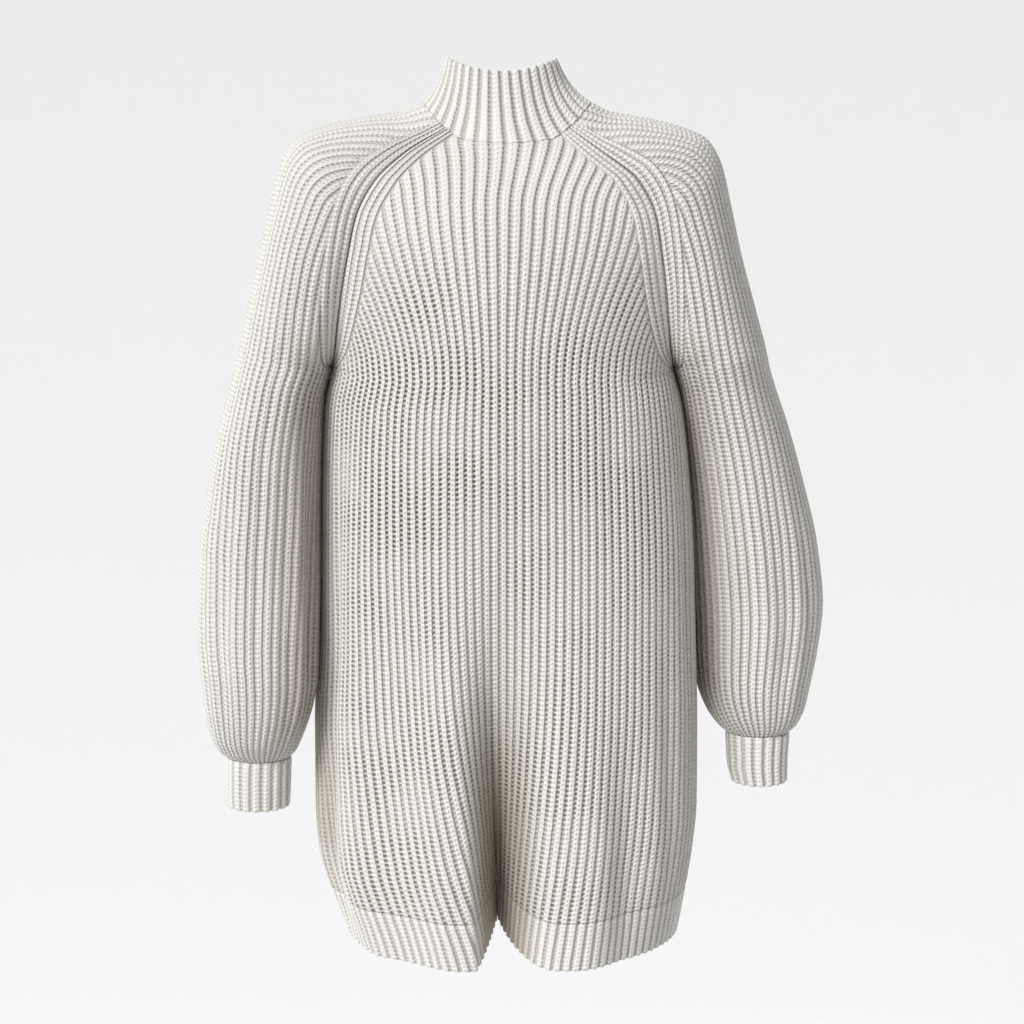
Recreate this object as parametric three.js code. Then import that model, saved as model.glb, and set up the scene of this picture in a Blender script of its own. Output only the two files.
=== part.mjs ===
import * as THREE from "three";

// An oversized sweater dress knitted in a half-cardigan stitch: a ribbed funnel neck, raglan sleeves that blouse
// over ribbed cuffs, and a loose body that ends in a ribbed hem. It is filled out as if worn, with nobody in it.
// Millimetres: +X is the wearer's left, -Y the front, +Z up. The origin is the middle of the neck, at the shoulders.

// The cloth
const WALL = 2.3; // plain inside to the groove between two ribs
const RIB_HEIGHT = 1.4;
const SEAM_GAP = 0.3;
const BODY_RIBS = 62; // across the front, and again across the back
const SLEEVE_RIBS = 44; // round the arm
const COLLAR_RIBS = 34;
const CUFF_RIBS = 18;
const BAND_RIBS = 3; // ribs that run along each raglan seam

// Heights of the seams
const HEM_EDGE = -815;
const HEM_SEAM = -768;
const UNDERARM = -235;
const NECK_ROW = -15;
const NECK_BLEND = 60; // the rows bend to meet the collar over this height

// The neck: two saddle-shaped rings, with the seam where collar and body meet as the lower one
const RIM = { halfWidth: 52, halfDepth: 49, middleX: 1, front: 50.5, side: 62, back: 48.7 };
const BASE = { halfWidth: 80, front: 75, back: 65, middleX: 6.5 };
const RAGLAN_TURN = 47; // degrees from the middle of the front, or of the back, to the raglan seam

// A short table with named columns, read by its first one with a smooth curve through the rows
class Table {
  constructor(names, rows) {
    this.names = names;
    this.rows = rows;
    this.slopes = names.map((_, c) => this.slopesOf(c));
  }
  slopesOf(c) {
    const step = this.rows.slice(1).map((row, i) => (row[c] - this.rows[i][c]) / (row[0] - this.rows[i][0]));
    return this.rows.map((_, i) => {
      if (i === 0) return step[0];
      if (i === step.length) return step[i - 1];
      return step[i - 1] * step[i] <= 0 ? 0 : (2 * step[i - 1] * step[i]) / (step[i - 1] + step[i]);
    });
  }
  at(name, key) {
    const c = this.names.indexOf(name);
    const { rows } = this;
    const place = Math.min(Math.max(key, rows[0][0]), rows[rows.length - 1][0]);
    let i = 0;
    while (i < rows.length - 2 && place > rows[i + 1][0]) i += 1;
    const span = rows[i + 1][0] - rows[i][0];
    const t = (place - rows[i][0]) / span;
    const low = (1 + 2 * t) * (1 - t) ** 2 * rows[i][c] + t * (1 - t) ** 2 * span * this.slopes[c][i];
    return low + t * t * (3 - 2 * t) * rows[i + 1][c] + t * t * (t - 1) * span * this.slopes[c][i + 1];
  }
}

// The body by height: half widths to each side seam or raglan seam, how far behind mid depth those seams are, depths
// of the front and the back, how round the ends of a row are, and the raglan seam's reach and its rise over the row
const BODY = new Table(
  ["z", "right", "left", "rightBack", "leftBack", "front", "back", "round", "seam", "rise"],
  [
    [-815, 157, 180, 0, 0, 129, 116, 0.94, 0, 0],
    [-791, 165.5, 184.5, 0, 0, 129, 118, 0.94, 0, 0],
    [-768, 174.5, 188.5, 1, -1, 129, 119, 0.94, 0, 0],
    [-726, 186, 194.5, 3, -2, 128, 119, 0.94, 0, 0],
    [-680, 188.7, 198, 6, -4, 126, 118, 0.94, 0, 0],
    [-600, 188.5, 197, 9, -8, 123, 115, 0.94, 0, 0],
    [-500, 182.5, 193.5, 10, -12, 121, 112, 0.94, 0, 0],
    [-400, 180.5, 189.5, 13, -12, 122, 111, 0.94, 0, 0],
    [-318, 177.5, 182.5, 13, -12, 125, 111, 0.94, 0, 0],
    [-268, 173.5, 176.5, 8, -7, 127, 111, 0.95, 0, 0],
    [-235, 165, 170, 0, 0, 127, 111, 0.96, 0, 0],
    [-228, 163.5, 168, 0, 0, 127, 111, 1.24, 24, 0],
    [-215, 160.5, 165, 0, 0, 127, 111, 1.59, 42, 0],
    [-190, 157, 162, 0, 0, 126, 110, 1.88, 56, 0],
    [-150, 150.5, 157.5, 0, 0, 124, 108, 2.1, 69, 0],
    [-115, 143.5, 152.5, 0, 0, 120, 105, 1.92, 76, 0],
    [-80, 135, 146, 0, 0, 112, 97, 1.72, 79, 0],
    [-50, 117, 129, -2, -2, 96, 83, 1.8, 76, 2],
    [-30, 88, 95, -3, -3, 82, 72, 2, 64, 8],
    [-15, 52, 65, -3.5, -3.5, 75, 65, 2, 47.5, 14],
  ],
);

// The top of each sleeve, by the height of the body's row beside it: its outermost point and its half depth
const CAP = {
  right: new Table(
    ["z", "outer", "top", "depth"],
    [
      [-235, 254.5, -212, 74],
      [-205, 245.5, -172, 79],
      [-165, 233.5, -122, 83],
      [-120, 221.5, -72, 85],
      [-90, 212, -38, 85],
      [-68, 196.5, -13.5, 82],
      [-50, 167, -1, 78],
      [-38, 133, 6.5, 71],
      [-26, 97, 11.5, 60],
      [-15, 73.5, 21, 47.6],
    ],
  ),
  left: new Table(
    ["z", "outer", "top", "depth"],
    [
      [-235, 258, -212, 74],
      [-205, 246.5, -172, 79],
      [-165, 232.5, -122, 83],
      [-120, 221, -72, 85],
      [-90, 212.5, -38, 85],
      [-68, 198, -14, 82],
      [-50, 170, -1.5, 78],
      [-38, 138, 6, 71],
      [-26, 106, 11.5, 60],
      [-15, 86.5, 21, 47.6],
    ],
  ),
};

// The arm below the underarm: its inner and outer sides, how far the outer side is above the inner one, its half
// depth, and how far back it hangs. The last rows are the cuff.
const ARM = {
  right: new Table(
    ["z", "inner", "outer", "lift", "depth", "back"],
    [
      [-676, 215.5, 275.5, 0, 24.5, -30],
      [-660, 214.5, 276, 0, 25.5, -30],
      [-626, 212.5, 275.5, 0, 25.5, -30],
      [-618, 207, 283.5, 0, 31, -31],
      [-600, 199.5, 289.5, -2, 41, -33],
      [-570, 189.5, 294.5, -2, 50, -35],
      [-540, 184.5, 297.5, 1, 55, -35],
      [-500, 183, 300.5, 6, 59.5, -30],
      [-430, 181, 297.5, 12, 64, -19],
      [-369, 180, 288, 16, 67, -15],
      [-318, 178.4, 277.5, 18, 70, -14],
      [-262, 174.2, 261.5, 21, 73, -8],
      [-235, 165, 254.5, 23, 74, 0],
    ],
  ),
  left: new Table(
    ["z", "inner", "outer", "lift", "depth", "back"],
    [
      [-661, 237, 291.5, 0, 24.5, 5],
      [-645, 233, 291.5, 0, 25, 5],
      [-610, 230, 293.5, 0, 25.5, 5],
      [-602, 222, 301, 0, 32, 7],
      [-585, 210.5, 308, -2, 42, 11],
      [-560, 201, 314.5, 0, 51, 16],
      [-530, 197, 321, 4, 56.5, 20],
      [-490, 194.5, 325, 8, 60.5, 20],
      [-430, 191.2, 317.5, 12, 64, 18],
      [-369, 188, 301.5, 16, 67, 16],
      [-318, 183.4, 286, 18, 70, 15],
      [-262, 177, 265.5, 21, 73, 8],
      [-235, 170, 258, 23, 74, 0],
    ],
  ),
};
const CUFF = {
  right: { seam: -626, edge: -676 },
  left: { seam: -610, edge: -661 },
};

// Folds that hang down the cloth: where each is, in degrees from the middle of its face (or from the inner side of
// the arm over the front), its depth into the garment, and how far its two slopes reach. A ridge has a depth below 0.
const foldTable = (rows) => new Table(["z", "turn", "depth", "before", "after"], rows);
const FOLDS = {
  front: [
    foldTable([
      [-815, -5.2, 88, 4.2, 22],
      [-768, -4.9, 80, 4.8, 22],
      [-690, -3.8, 60, 7, 21],
      [-600, -2.8, 37, 11, 21],
      [-500, -1.5, 17, 15, 22],
      [-400, 0, 6, 18, 22],
      [-320, 1, 0, 18, 22],
    ]),
    foldTable([
      [-815, -18, -4, 9, 12],
      [-650, -17, -5, 10, 12],
      [-430, -14, 0, 12, 12],
    ]),
    foldTable([
      [-815, -36, 3, 12, 13],
      [-600, -34, 5, 12, 13],
      [-360, -32, 0, 12, 12],
    ]),
    foldTable([
      [-815, -51, -3, 12, 11],
      [-560, -50, -5, 12, 12],
      [-270, -49, 0, 12, 12],
    ]),
    foldTable([
      [-815, -70, 1, 12, 12],
      [-730, -69, 8, 11, 11],
      [-600, -68, 0, 12, 12],
    ]),
    foldTable([
      [-815, 26, -9, 13, 17],
      [-680, 25, -6, 13, 16],
      [-450, 24, 0, 13, 14],
    ]),
    foldTable([
      [-815, 44, 0, 12, 14],
      [-720, 40, 5, 13, 14],
      [-560, 38, 0, 13, 14],
    ]),
  ],
  back: [
    foldTable([
      [-815, -24, 15, 15, 17],
      [-650, -23, 9, 16, 18],
      [-430, -22, 0, 18, 18],
    ]),
    foldTable([
      [-815, 2, -6, 14, 14],
      [-560, 2, 0, 14, 14],
    ]),
    foldTable([
      [-815, 27, 19, 16, 15],
      [-660, 26, 11, 17, 17],
      [-400, 24, 0, 18, 18],
    ]),
    foldTable([
      [-815, 58, 7, 14, 13],
      [-600, 57, 0, 14, 14],
    ]),
  ],
  armRight: [
    foldTable([
      [-626, 42, 0, 16, 14],
      [-560, 43, -4, 16, 13],
      [-400, 50, -6, 16, 13],
      [-280, 52, 0, 16, 14],
    ]),
    foldTable([
      [-626, 22, 0, 14, 16],
      [-480, 26, 4, 14, 16],
      [-290, 28, 0, 14, 16],
    ]),
    foldTable([
      [-626, 128, 0, 16, 20],
      [-520, 124, 5, 16, 20],
      [-330, 118, 0, 16, 20],
    ]),
    foldTable([
      [-626, 250, 0, 20, 20],
      [-500, 248, 6, 20, 20],
      [-330, 246, 0, 20, 20],
    ]),
  ],
  armLeft: [
    foldTable([
      [-610, 60, 0, 18, 18],
      [-540, 60, -4, 18, 18],
      [-320, 62, 0, 18, 18],
    ]),
    foldTable([
      [-610, 115, 0, 18, 22],
      [-500, 112, 4, 18, 22],
      [-330, 108, 0, 18, 22],
    ]),
    foldTable([
      [-610, 240, 0, 20, 22],
      [-520, 244, 6, 20, 22],
      [-340, 248, 0, 20, 22],
    ]),
  ],
};
const HEM_LIFT = 25; // the hem rises this much where the middle fold is deepest
const HEM_LIFT_HEIGHT = 200;

// Width of a rib by height, as the ribs narrow down from the wide ones at the collar
const BODY_PITCH = new Table(
  ["z", "rib"],
  [
    [-235, 7.4],
    [-215, 7.5],
    [-190, 7.9],
    [-160, 8.7],
    [-130, 9.6],
    [-100, 10.4],
    [-60, 11.3],
    [-30, 12.9],
    [-15, 14],
  ],
);
const SLEEVE_PITCH = new Table(
  ["z", "rib"],
  [
    [-235, 8.6],
    [-165, 8.6],
    [-100, 9],
    [-60, 9.8],
    [-30, 12],
    [-15, 14],
  ],
);
const BAND_WIDTH = new Table(
  ["z", "width"],
  [
    [-235, 22.5],
    [-150, 25],
    [-60, 24],
    [-30, 17],
    [-15, 12],
  ],
);

const clamp = (v, low, high) => Math.min(Math.max(v, low), high);
const ease = (from, to, v) => {
  const t = clamp((v - from) / (to - from), 0, 1);
  return t * t * (3 - 2 * t);
};
const radians = (degrees) => (degrees * Math.PI) / 180;
const sideSign = (side) => (side === "left" ? 1 : -1);

// How deep the folds of one face go at a turn and a height
function foldDepth(folds, turn, z) {
  return folds.reduce((sum, fold) => {
    const off = turn - fold.at("turn", z);
    const reach = off < 0 ? fold.at("before", z) : fold.at("after", z);
    return sum + fold.at("depth", z) * (1 - ease(0, 1, Math.abs(off) / reach));
  }, 0);
}

// The two rings of the neck, by the angle from the middle of the front
function rimPoint(angle) {
  const c = Math.cos(angle);
  const end = c > 0 ? RIM.front : RIM.back;
  return new THREE.Vector3(
    RIM.middleX + RIM.halfWidth * Math.sin(angle),
    -RIM.halfDepth * c,
    RIM.side + (end - RIM.side) * c * c,
  );
}
const BASE_HEIGHT = new Table(
  ["angle", "z"],
  [
    [0, -15],
    [30, -12],
    [47, -1],
    [70, 15],
    [90, 21],
    [133, 18],
    [180, 15],
  ],
);
function basePoint(angle) {
  const c = Math.cos(angle);
  const off = Math.abs((angle * 180) / Math.PI);
  return new THREE.Vector3(
    BASE.middleX + BASE.halfWidth * Math.sin(angle),
    -(c > 0 ? BASE.front : BASE.back) * c,
    BASE_HEIGHT.at("z", off > 180 ? 360 - off : off),
  );
}
// Which way the wall faces along the neck seam
function baseNormal(angle) {
  const up = radians(33 + 29 * Math.sin(angle) ** 2);
  const c = Math.cos(angle);
  const out = new THREE.Vector3(Math.sin(angle) / BASE.halfWidth, -c / (c > 0 ? BASE.front : BASE.back), 0);
  return out.normalize().multiplyScalar(Math.cos(up)).add(new THREE.Vector3(0, 0, Math.sin(up)));
}

// One point of the front or the back: turn runs from -1 at the wearer's right seam to 1 at the left one
function plainBody(face, turn, z) {
  const angle = (turn * Math.PI) / 2;
  const half = BODY.at(turn < 0 ? "right" : "left", z);
  const seam = BODY.at("seam", z);
  const way = face === "front" ? -1 : 1;
  const reach = seam + (BODY.at(face, z) - seam) * Math.max(Math.cos(angle), 0) ** BODY.at("round", z);
  const across = BODY.at(turn < 0 ? "rightBack" : "leftBack", z) * Math.sin(angle) ** 2;
  const depth = foldDepth(FOLDS[face], turn * 90, z);
  const x = half * Math.sin(angle);
  const far = Math.hypot(x, reach) || 1;
  let rise = BODY.at("rise", z) * Math.abs(turn) ** 2.5;
  if (face === "front") {
    const middle = foldDepth([FOLDS.front[0]], turn * 90, z) / FOLDS.front[0].at("depth", HEM_EDGE);
    rise += HEM_LIFT * middle * ease(HEM_EDGE + HEM_LIFT_HEIGHT, HEM_EDGE, z);
  }
  return new THREE.Vector3(x - (x / far) * depth, across + way * (reach - (reach / far) * depth), z + rise);
}
const neckBlend = (z) => ease(NECK_ROW - NECK_BLEND, NECK_ROW, z);
function bodyPoint(face, turn, z) {
  const point = plainBody(face, turn, z);
  const blend = neckBlend(z);
  if (blend > 0) {
    const angle = face === "front" ? radians(RAGLAN_TURN * turn) : Math.PI - radians(RAGLAN_TURN * turn);
    point.addScaledVector(basePoint(angle).sub(plainBody(face, turn, NECK_ROW)), blend);
  }
  return point;
}

// One point of a sleeve: turn runs from -1 at the front seam over the outside of the arm to 1 at the back seam.
// Each row is part of an ellipse through both seams and the outermost point.
function plainSleeve(side, turn, z) {
  const sign = sideSign(side);
  const cap = z > UNDERARM;
  const inner = cap ? BODY.at(side, z) : ARM[side].at("inner", z);
  const low = z + (cap ? BODY.at("rise", z) : 0);
  const outer = cap ? CAP[side].at("outer", z) : ARM[side].at("outer", z);
  const top = cap ? CAP[side].at("top", z) : z + ARM[side].at("lift", z);
  const deep = cap ? CAP[side].at("depth", z) : ARM[side].at("depth", z);
  const across = cap ? BODY.at(side + "Back", z) : ARM[side].at("back", z);
  const start = cap ? Math.asin(clamp(BODY.at("seam", z) / deep, 0, 1)) : 0;
  const long = Math.hypot(outer - inner, top - low);
  const half = long / (1 + Math.cos(start));
  const angle = Math.PI + turn * (Math.PI - start);
  const fold = foldDepth(side === "left" ? FOLDS.armLeft : FOLDS.armRight, (angle * 180) / Math.PI, z);
  const along = half * (Math.cos(start) - Math.cos(angle)) + fold * Math.cos(angle);
  return new THREE.Vector3(
    sign * (inner + ((outer - inner) / long) * along),
    across - (deep - fold) * Math.sin(angle),
    low + ((top - low) / long) * along,
  );
}
function sleevePoint(side, turn, z) {
  const point = plainSleeve(side, turn, z);
  const blend = neckBlend(z);
  if (blend > 0) {
    const angle = sideSign(side) * radians(90 + (90 - RAGLAN_TURN) * turn);
    point.addScaledVector(basePoint(angle).sub(plainSleeve(side, turn, NECK_ROW)), blend);
  }
  return point;
}

// The collar, from its rim (0) to the seam with the body (1): it stands up, then flares
function collarPoint(angle, down) {
  const rim = rimPoint(angle);
  const base = basePoint(angle);
  const flare = 0.55 * down + 0.45 * down ** 3;
  return new THREE.Vector3(
    rim.x + (base.x - rim.x) * flare,
    rim.y + (base.y - rim.y) * flare,
    rim.z + (base.z - rim.z) * down,
  );
}

// Outward direction of a surface point(u, v), where u runs along a row and v up the cloth
function normalAt(point, u, v, stepU, stepV, outward) {
  const along = point(Math.min(u + stepU, 1), v).sub(point(Math.max(u - stepU, -1), v));
  const up = point(u, v + stepV).sub(point(u, v - stepV));
  const normal = along.cross(up).normalize();
  return normal.dot(outward) < 0 ? normal.negate() : normal;
}
const bodyNormal = (face, turn, z) => {
  const angle = (turn * Math.PI) / 2;
  const outward = new THREE.Vector3(Math.sin(angle), (face === "front" ? -1 : 1) * (Math.cos(angle) + 0.3), 0.2);
  return normalAt((u, v) => bodyPoint(face, u, v), turn, clamp(z, HEM_EDGE + 1, NECK_ROW - 1), 0.008, 1, outward);
};
const sleeveNormal = (side, turn, z) => {
  const outer = new THREE.Vector3(sideSign(side), 0, z > -60 ? 1 : 0.3);
  const angle = Math.PI * (1 + turn * 0.75);
  const outward = outer.multiplyScalar(-Math.cos(angle)).add(new THREE.Vector3(0, -Math.sin(angle), 0));
  const v = clamp(z, CUFF[side].edge + 1, NECK_ROW - 1);
  return normalAt((u, w) => sleevePoint(side, u, w), turn, v, 0.008, 1, outward);
};

// Along a raglan seam both walls share one direction, and each edge steps back from the seam by half the gap
function raglanSeam(face, side, z) {
  const turn = sideSign(side);
  const sleeveTurn = face === "front" ? -1 : 1;
  const seam = bodyPoint(face, turn, z);
  const v = clamp(z, UNDERARM + 1, NECK_ROW - 1);
  const along = bodyPoint(face, turn, v + 1).sub(bodyPoint(face, turn, v - 1)).normalize();
  const away = (point, from) => {
    const off = point.clone().sub(from);
    return off.addScaledVector(along, -off.dot(along)).normalize();
  };
  const here = bodyPoint(face, turn, v);
  const intoBody = away(bodyPoint(face, turn * 0.97, v), here);
  const intoSleeve = away(sleevePoint(side, sleeveTurn * 0.97, v), here);
  const normal = bodyNormal(face, turn * 0.99, v)
    .add(sleeveNormal(side, sleeveTurn * 0.99, v))
    .add(intoBody)
    .add(intoSleeve)
    .normalize();
  if (z <= UNDERARM) {
    const sign = sideSign(side);
    return {
      seam,
      normal: new THREE.Vector3(0, 0, -1),
      intoBody: new THREE.Vector3(-2.6 * sign, 0, -1),
      intoSleeve: new THREE.Vector3(2.6 * sign, 0, -1),
    };
  }
  return { seam, normal, intoBody, intoSleeve };
}

// Turns at equal lengths of cloth along a row, measured from its middle
function rowLengths(point, from, to) {
  const steps = 240;
  const list = [{ turn: from, length: 0, across: 0 }];
  let last = point(from);
  for (let i = 1; i <= steps; i += 1) {
    const turn = from + ((to - from) * i) / steps;
    const next = point(turn);
    const { length, across } = list[i - 1];
    list.push({ turn, length: length + next.distanceTo(last), across: across + Math.abs(next.x - last.x) });
    last = next;
  }
  return list;
}
function read(list, column, value, wanted) {
  let i = 1;
  while (i < list.length - 1 && list[i][column] < value) i += 1;
  const a = list[i - 1];
  const b = list[i];
  const share = clamp((value - a[column]) / (b[column] - a[column] || 1), 0, 1);
  return a[wanted] + (b[wanted] - a[wanted]) * share;
}
function turnAt(list, length) {
  return read(list, "length", length, "turn");
}

// The columns of one row, two to a rib, from -last to last, evenly spaced up to the underarm. Above it they spread
// as the rib widths in the table do, the outer ribs follow the seam, and the rest end where they reach that band.
// On a panel they spread sideways, by x, and on a sleeve along the row.
function rowColumns(pointAt, z, last, pitch, sideways) {
  const bandColumns = 2 * BAND_RIBS;
  const upper = z > UNDERARM;
  const halves = {};
  for (const way of [-1, 1]) {
    const list = rowLengths((turn) => pointAt(turn, z), 0, way);
    const low = rowLengths((turn) => pointAt(turn, Math.min(z, UNDERARM)), 0, way);
    const whole = list[list.length - 1].length;
    const even = low[low.length - 1].length / last;
    const wider = upper ? pitch.at("rib", z) / pitch.at("rib", UNDERARM) : 1;
    const place = (n) => {
      if (!upper || !sideways) return n * even * wider;
      return read(list, "across", read(low, "length", n * even, "across") * wider, "length");
    };
    const below = even * bandColumns - BAND_WIDTH.at("width", UNDERARM);
    const band = BAND_WIDTH.at("width", z) + below * (1 - ease(0, 40, z - UNDERARM));
    halves[way] = { list, whole, place, width: upper ? Math.min(band, whole * 0.4) : even * bandColumns };
  }
  const columns = [];
  for (let k = -last; k <= last; k += 1) {
    const { list, whole, place, width } = halves[k < 0 ? -1 : 1];
    const n = Math.abs(k);
    const inside = whole - width;
    let length = place(n);
    let ended = false;
    if (n > last - bandColumns) length = whole - (width * (last - n)) / bandColumns;
    else if (upper && length > inside - 1.4) {
      length = inside;
      ended = true;
    }
    columns.push({ k, turn: turnAt(list, length), crest: n % 2 === 1 && !ended, fromSeam: whole - length });
  }
  return columns;
}

// A wall from rows of columns: ribs outside, a plain inside on fewer columns, and closed edges. Rows marked open
// have side edges; in the others the first and the last column are one.
function wall(name, rows, insideColumns, colour) {
  const corners = [];
  const put = (a, b, c) => {
    if (a.distanceTo(b) > 1e-6 && b.distanceTo(c) > 1e-6 && c.distanceTo(a) > 1e-6) corners.push(a, b, c);
  };
  for (const { open, columns } of rows) {
    if (!open) columns[columns.length - 1] = { ...columns[0], k: -columns[0].k };
  }
  const outside = rows.map((row) => row.columns.map((c) => c.point.clone().addScaledVector(c.normal, c.raise)));
  const keep = rows[0].columns.map((c) => c.k).filter(insideColumns);
  const pick = keep.map((k) => rows[0].columns.findIndex((c) => c.k === k));
  const inside = rows.map((row) =>
    pick.map((i) => row.columns[i].point.clone().addScaledVector(row.columns[i].normal, -WALL)),
  );
  const grid = (net, flip) => {
    for (let r = 0; r < net.length - 1; r += 1) {
      for (let i = 0; i < net[r].length - 1; i += 1) {
        const [a, b, c, d] = [net[r][i], net[r][i + 1], net[r + 1][i + 1], net[r + 1][i]];
        if (flip) {
          put(a, c, b);
          put(a, d, c);
        } else {
          put(a, b, c);
          put(a, c, d);
        }
      }
    }
  };
  grid(outside, false);
  grid(inside, true);
  const zip = (r, flip) => {
    const ks = rows[r].columns.map((c) => c.k);
    let i = 0;
    let j = 0;
    while (i < ks.length - 1 || j < keep.length - 1) {
      const here = outside[r][i];
      if (j === keep.length - 1 || (i < ks.length - 1 && ks[i + 1] <= keep[j + 1])) {
        const next = outside[r][i + 1];
        if (flip) put(here, next, inside[r][j]);
        else put(next, here, inside[r][j]);
        i += 1;
      } else {
        if (flip) put(here, inside[r][j + 1], inside[r][j]);
        else put(here, inside[r][j], inside[r][j + 1]);
        j += 1;
      }
    }
  };
  zip(0, false);
  zip(rows.length - 1, true);
  for (let r = 0; r < rows.length - 1; r += 1) {
    if (!rows[r].open || !rows[r + 1].open) continue;
    const end = outside[r].length - 1;
    const far = pick.length - 1;
    put(outside[r][0], outside[r + 1][0], inside[r + 1][0]);
    put(outside[r][0], inside[r + 1][0], inside[r][0]);
    put(outside[r][end], inside[r + 1][far], outside[r + 1][end]);
    put(outside[r][end], inside[r][far], inside[r + 1][far]);
  }
  let volume = 0;
  for (let i = 0; i < corners.length; i += 3) volume += corners[i].dot(corners[i + 1].clone().cross(corners[i + 2]));
  const array = new Float32Array(corners.length * 3);
  for (let i = 0; i < corners.length; i += 3) {
    const order = volume > 0 ? [0, 1, 2] : [0, 2, 1];
    order.forEach((o, n) => corners[i + o].toArray(array, (i + n) * 3));
  }
  const geometry = new THREE.BufferGeometry().setAttribute("position", new THREE.BufferAttribute(array, 3));
  geometry.computeVertexNormals();
  const mesh = new THREE.Mesh(geometry, new THREE.MeshStandardMaterial({ color: colour, roughness: 0.95 }));
  mesh.name = name;
  return mesh;
}

// Ribs sink into the cloth at the underarm and in the crease above it, where body and sleeve press together
function ribHeight(point, side, fromSeam) {
  const corner = new THREE.Vector3(sideSign(side) * BODY.at(side, UNDERARM), 0, UNDERARM);
  const crease = ease(-90, -170, point.z) * ease(-255, -235, point.z) * (1 - ease(2, 20, fromSeam));
  return RIB_HEIGHT * ease(6, 45, point.distanceTo(corner)) * (1 - crease);
}

function bodyRow(face, z, step) {
  const pointAt = (turn, height) => bodyPoint(face, turn, height);
  const columns = rowColumns(pointAt, z, BODY_RIBS, BODY_PITCH, true);
  return {
    open: true,
    columns: columns.map(({ k, turn, crest, fromSeam }) => {
      const side = turn < 0 ? "right" : "left";
      let at = pointAt(turn, z);
      let normal = bodyNormal(face, turn, z);
      const edge = Math.abs(k) === BODY_RIBS;
      if (z === NECK_ROW) {
        const ring = face === "front" ? radians(RAGLAN_TURN * turn) : Math.PI - radians(RAGLAN_TURN * turn);
        normal = baseNormal(ring);
      }
      if (edge && z >= UNDERARM) {
        const seam = raglanSeam(face, side, z);
        if (z !== NECK_ROW) normal = seam.normal;
        at.addScaledVector(seam.intoBody, SEAM_GAP / 2);
      }
      if (edge && z < UNDERARM) normal = new THREE.Vector3(sideSign(side), 0, 0);
      if (edge && z <= UNDERARM) at.y += (face === "front" ? -1 : 1) * (SEAM_GAP / 2);
      if (step !== 0) {
        const beside = bodyPoint(face, turn, z - Math.sign(step)).sub(bodyPoint(face, turn, z)).normalize();
        at = at.addScaledVector(beside, Math.abs(step));
      }
      return { k, point: at, normal, raise: crest ? ribHeight(at, side, fromSeam) : 0 };
    }),
  };
}

function sleeveRow(side, z, step) {
  const pointAt = (turn, height) => sleevePoint(side, turn, height);
  const columns = rowColumns(pointAt, z, SLEEVE_RIBS, SLEEVE_PITCH, false);
  return {
    open: z >= UNDERARM,
    columns: columns.map(({ k, turn, crest, fromSeam }) => {
      const at = pointAt(turn, z);
      let normal = sleeveNormal(side, turn, z);
      const edge = Math.abs(k) === SLEEVE_RIBS;
      if (z === NECK_ROW) normal = baseNormal(sideSign(side) * radians(90 + (90 - RAGLAN_TURN) * turn));
      if (z === CUFF[side].seam) normal = cuffNormal(side, turn);
      if (edge && z >= UNDERARM) {
        const seam = raglanSeam(k < 0 ? "front" : "back", side, z);
        if (z !== NECK_ROW) normal = seam.normal;
        at.addScaledVector(seam.intoSleeve, SEAM_GAP / 2);
      } else if (edge) normal = sleeveNormal(side, 1, z).add(sleeveNormal(side, -1, z)).normalize();
      if (step !== 0) {
        const beside = sleevePoint(side, turn, z - Math.sign(step)).sub(sleevePoint(side, turn, z)).normalize();
        at.addScaledVector(beside, Math.abs(step));
      }
      return { k, point: at, normal, raise: crest ? ribHeight(at, side, fromSeam) : 0 };
    }),
  };
}

function cuffNormal(side, turn) {
  const angle = Math.PI * (1 + turn);
  const seam = CUFF[side].seam;
  const half = (ARM[side].at("outer", seam) - ARM[side].at("inner", seam)) / 2;
  const deep = ARM[side].at("depth", seam);
  return new THREE.Vector3((-sideSign(side) * Math.cos(angle)) / half, -Math.sin(angle) / deep, 0).normalize();
}

function cuffRow(side, z) {
  const pointAt = (turn, height) => sleevePoint(side, turn, height);
  const columns = rowColumns(pointAt, z, CUFF_RIBS, SLEEVE_PITCH, false);
  return {
    open: false,
    columns: columns.map(({ k, turn, crest }) => ({
      k,
      point: sleevePoint(side, turn, z),
      normal: cuffNormal(side, turn),
      raise: crest ? RIB_HEIGHT : 0,
    })),
  };
}

function collarRow(down, step) {
  const list = rowLengths((turn) => collarPoint(Math.PI * turn, down), -1, 1);
  const whole = list[list.length - 1].length;
  const columns = [];
  for (let k = -COLLAR_RIBS; k <= COLLAR_RIBS; k += 1) {
    const turn = turnAt(list, (whole * (k + COLLAR_RIBS)) / (2 * COLLAR_RIBS));
    const angle = Math.PI * turn;
    const point = collarPoint(angle, down);
    const outward = new THREE.Vector3(Math.sin(angle), -Math.cos(angle), 0.2);
    let normal = normalAt(
      (u, v) => collarPoint(Math.PI * u, v),
      clamp(turn, -0.99, 0.99),
      clamp(down, 0.02, 0.98),
      0.008,
      0.02,
      outward,
    );
    if (down === 0) normal = outward.setZ(0).normalize();
    if (down === 1) normal = baseNormal(angle);
    if (step) point.addScaledVector(collarPoint(angle, 0.97).sub(point).normalize(), step);
    columns.push({ k, point, normal, raise: Math.abs(k) % 2 === 1 ? RIB_HEIGHT : 0 });
  }
  return { open: false, columns };
}

// Rows of each piece, from its lower edge up
const LOWER_ROWS = [HEM_SEAM, -722, -630, -520, -390, -252];
const ARM_ROWS = {
  right: [-626, -618, -600, -565, -510, -430, -340, -252],
  left: [-610, -602, -585, -555, -500, -430, -340, -252],
};
const CAP_ROWS = [UNDERARM, -213, -172, -128, -93, -68, -46, -29, NECK_ROW];

const YARN = 0xe4e0d6;
const RIB_YARN = 0xeae7df;
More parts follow.
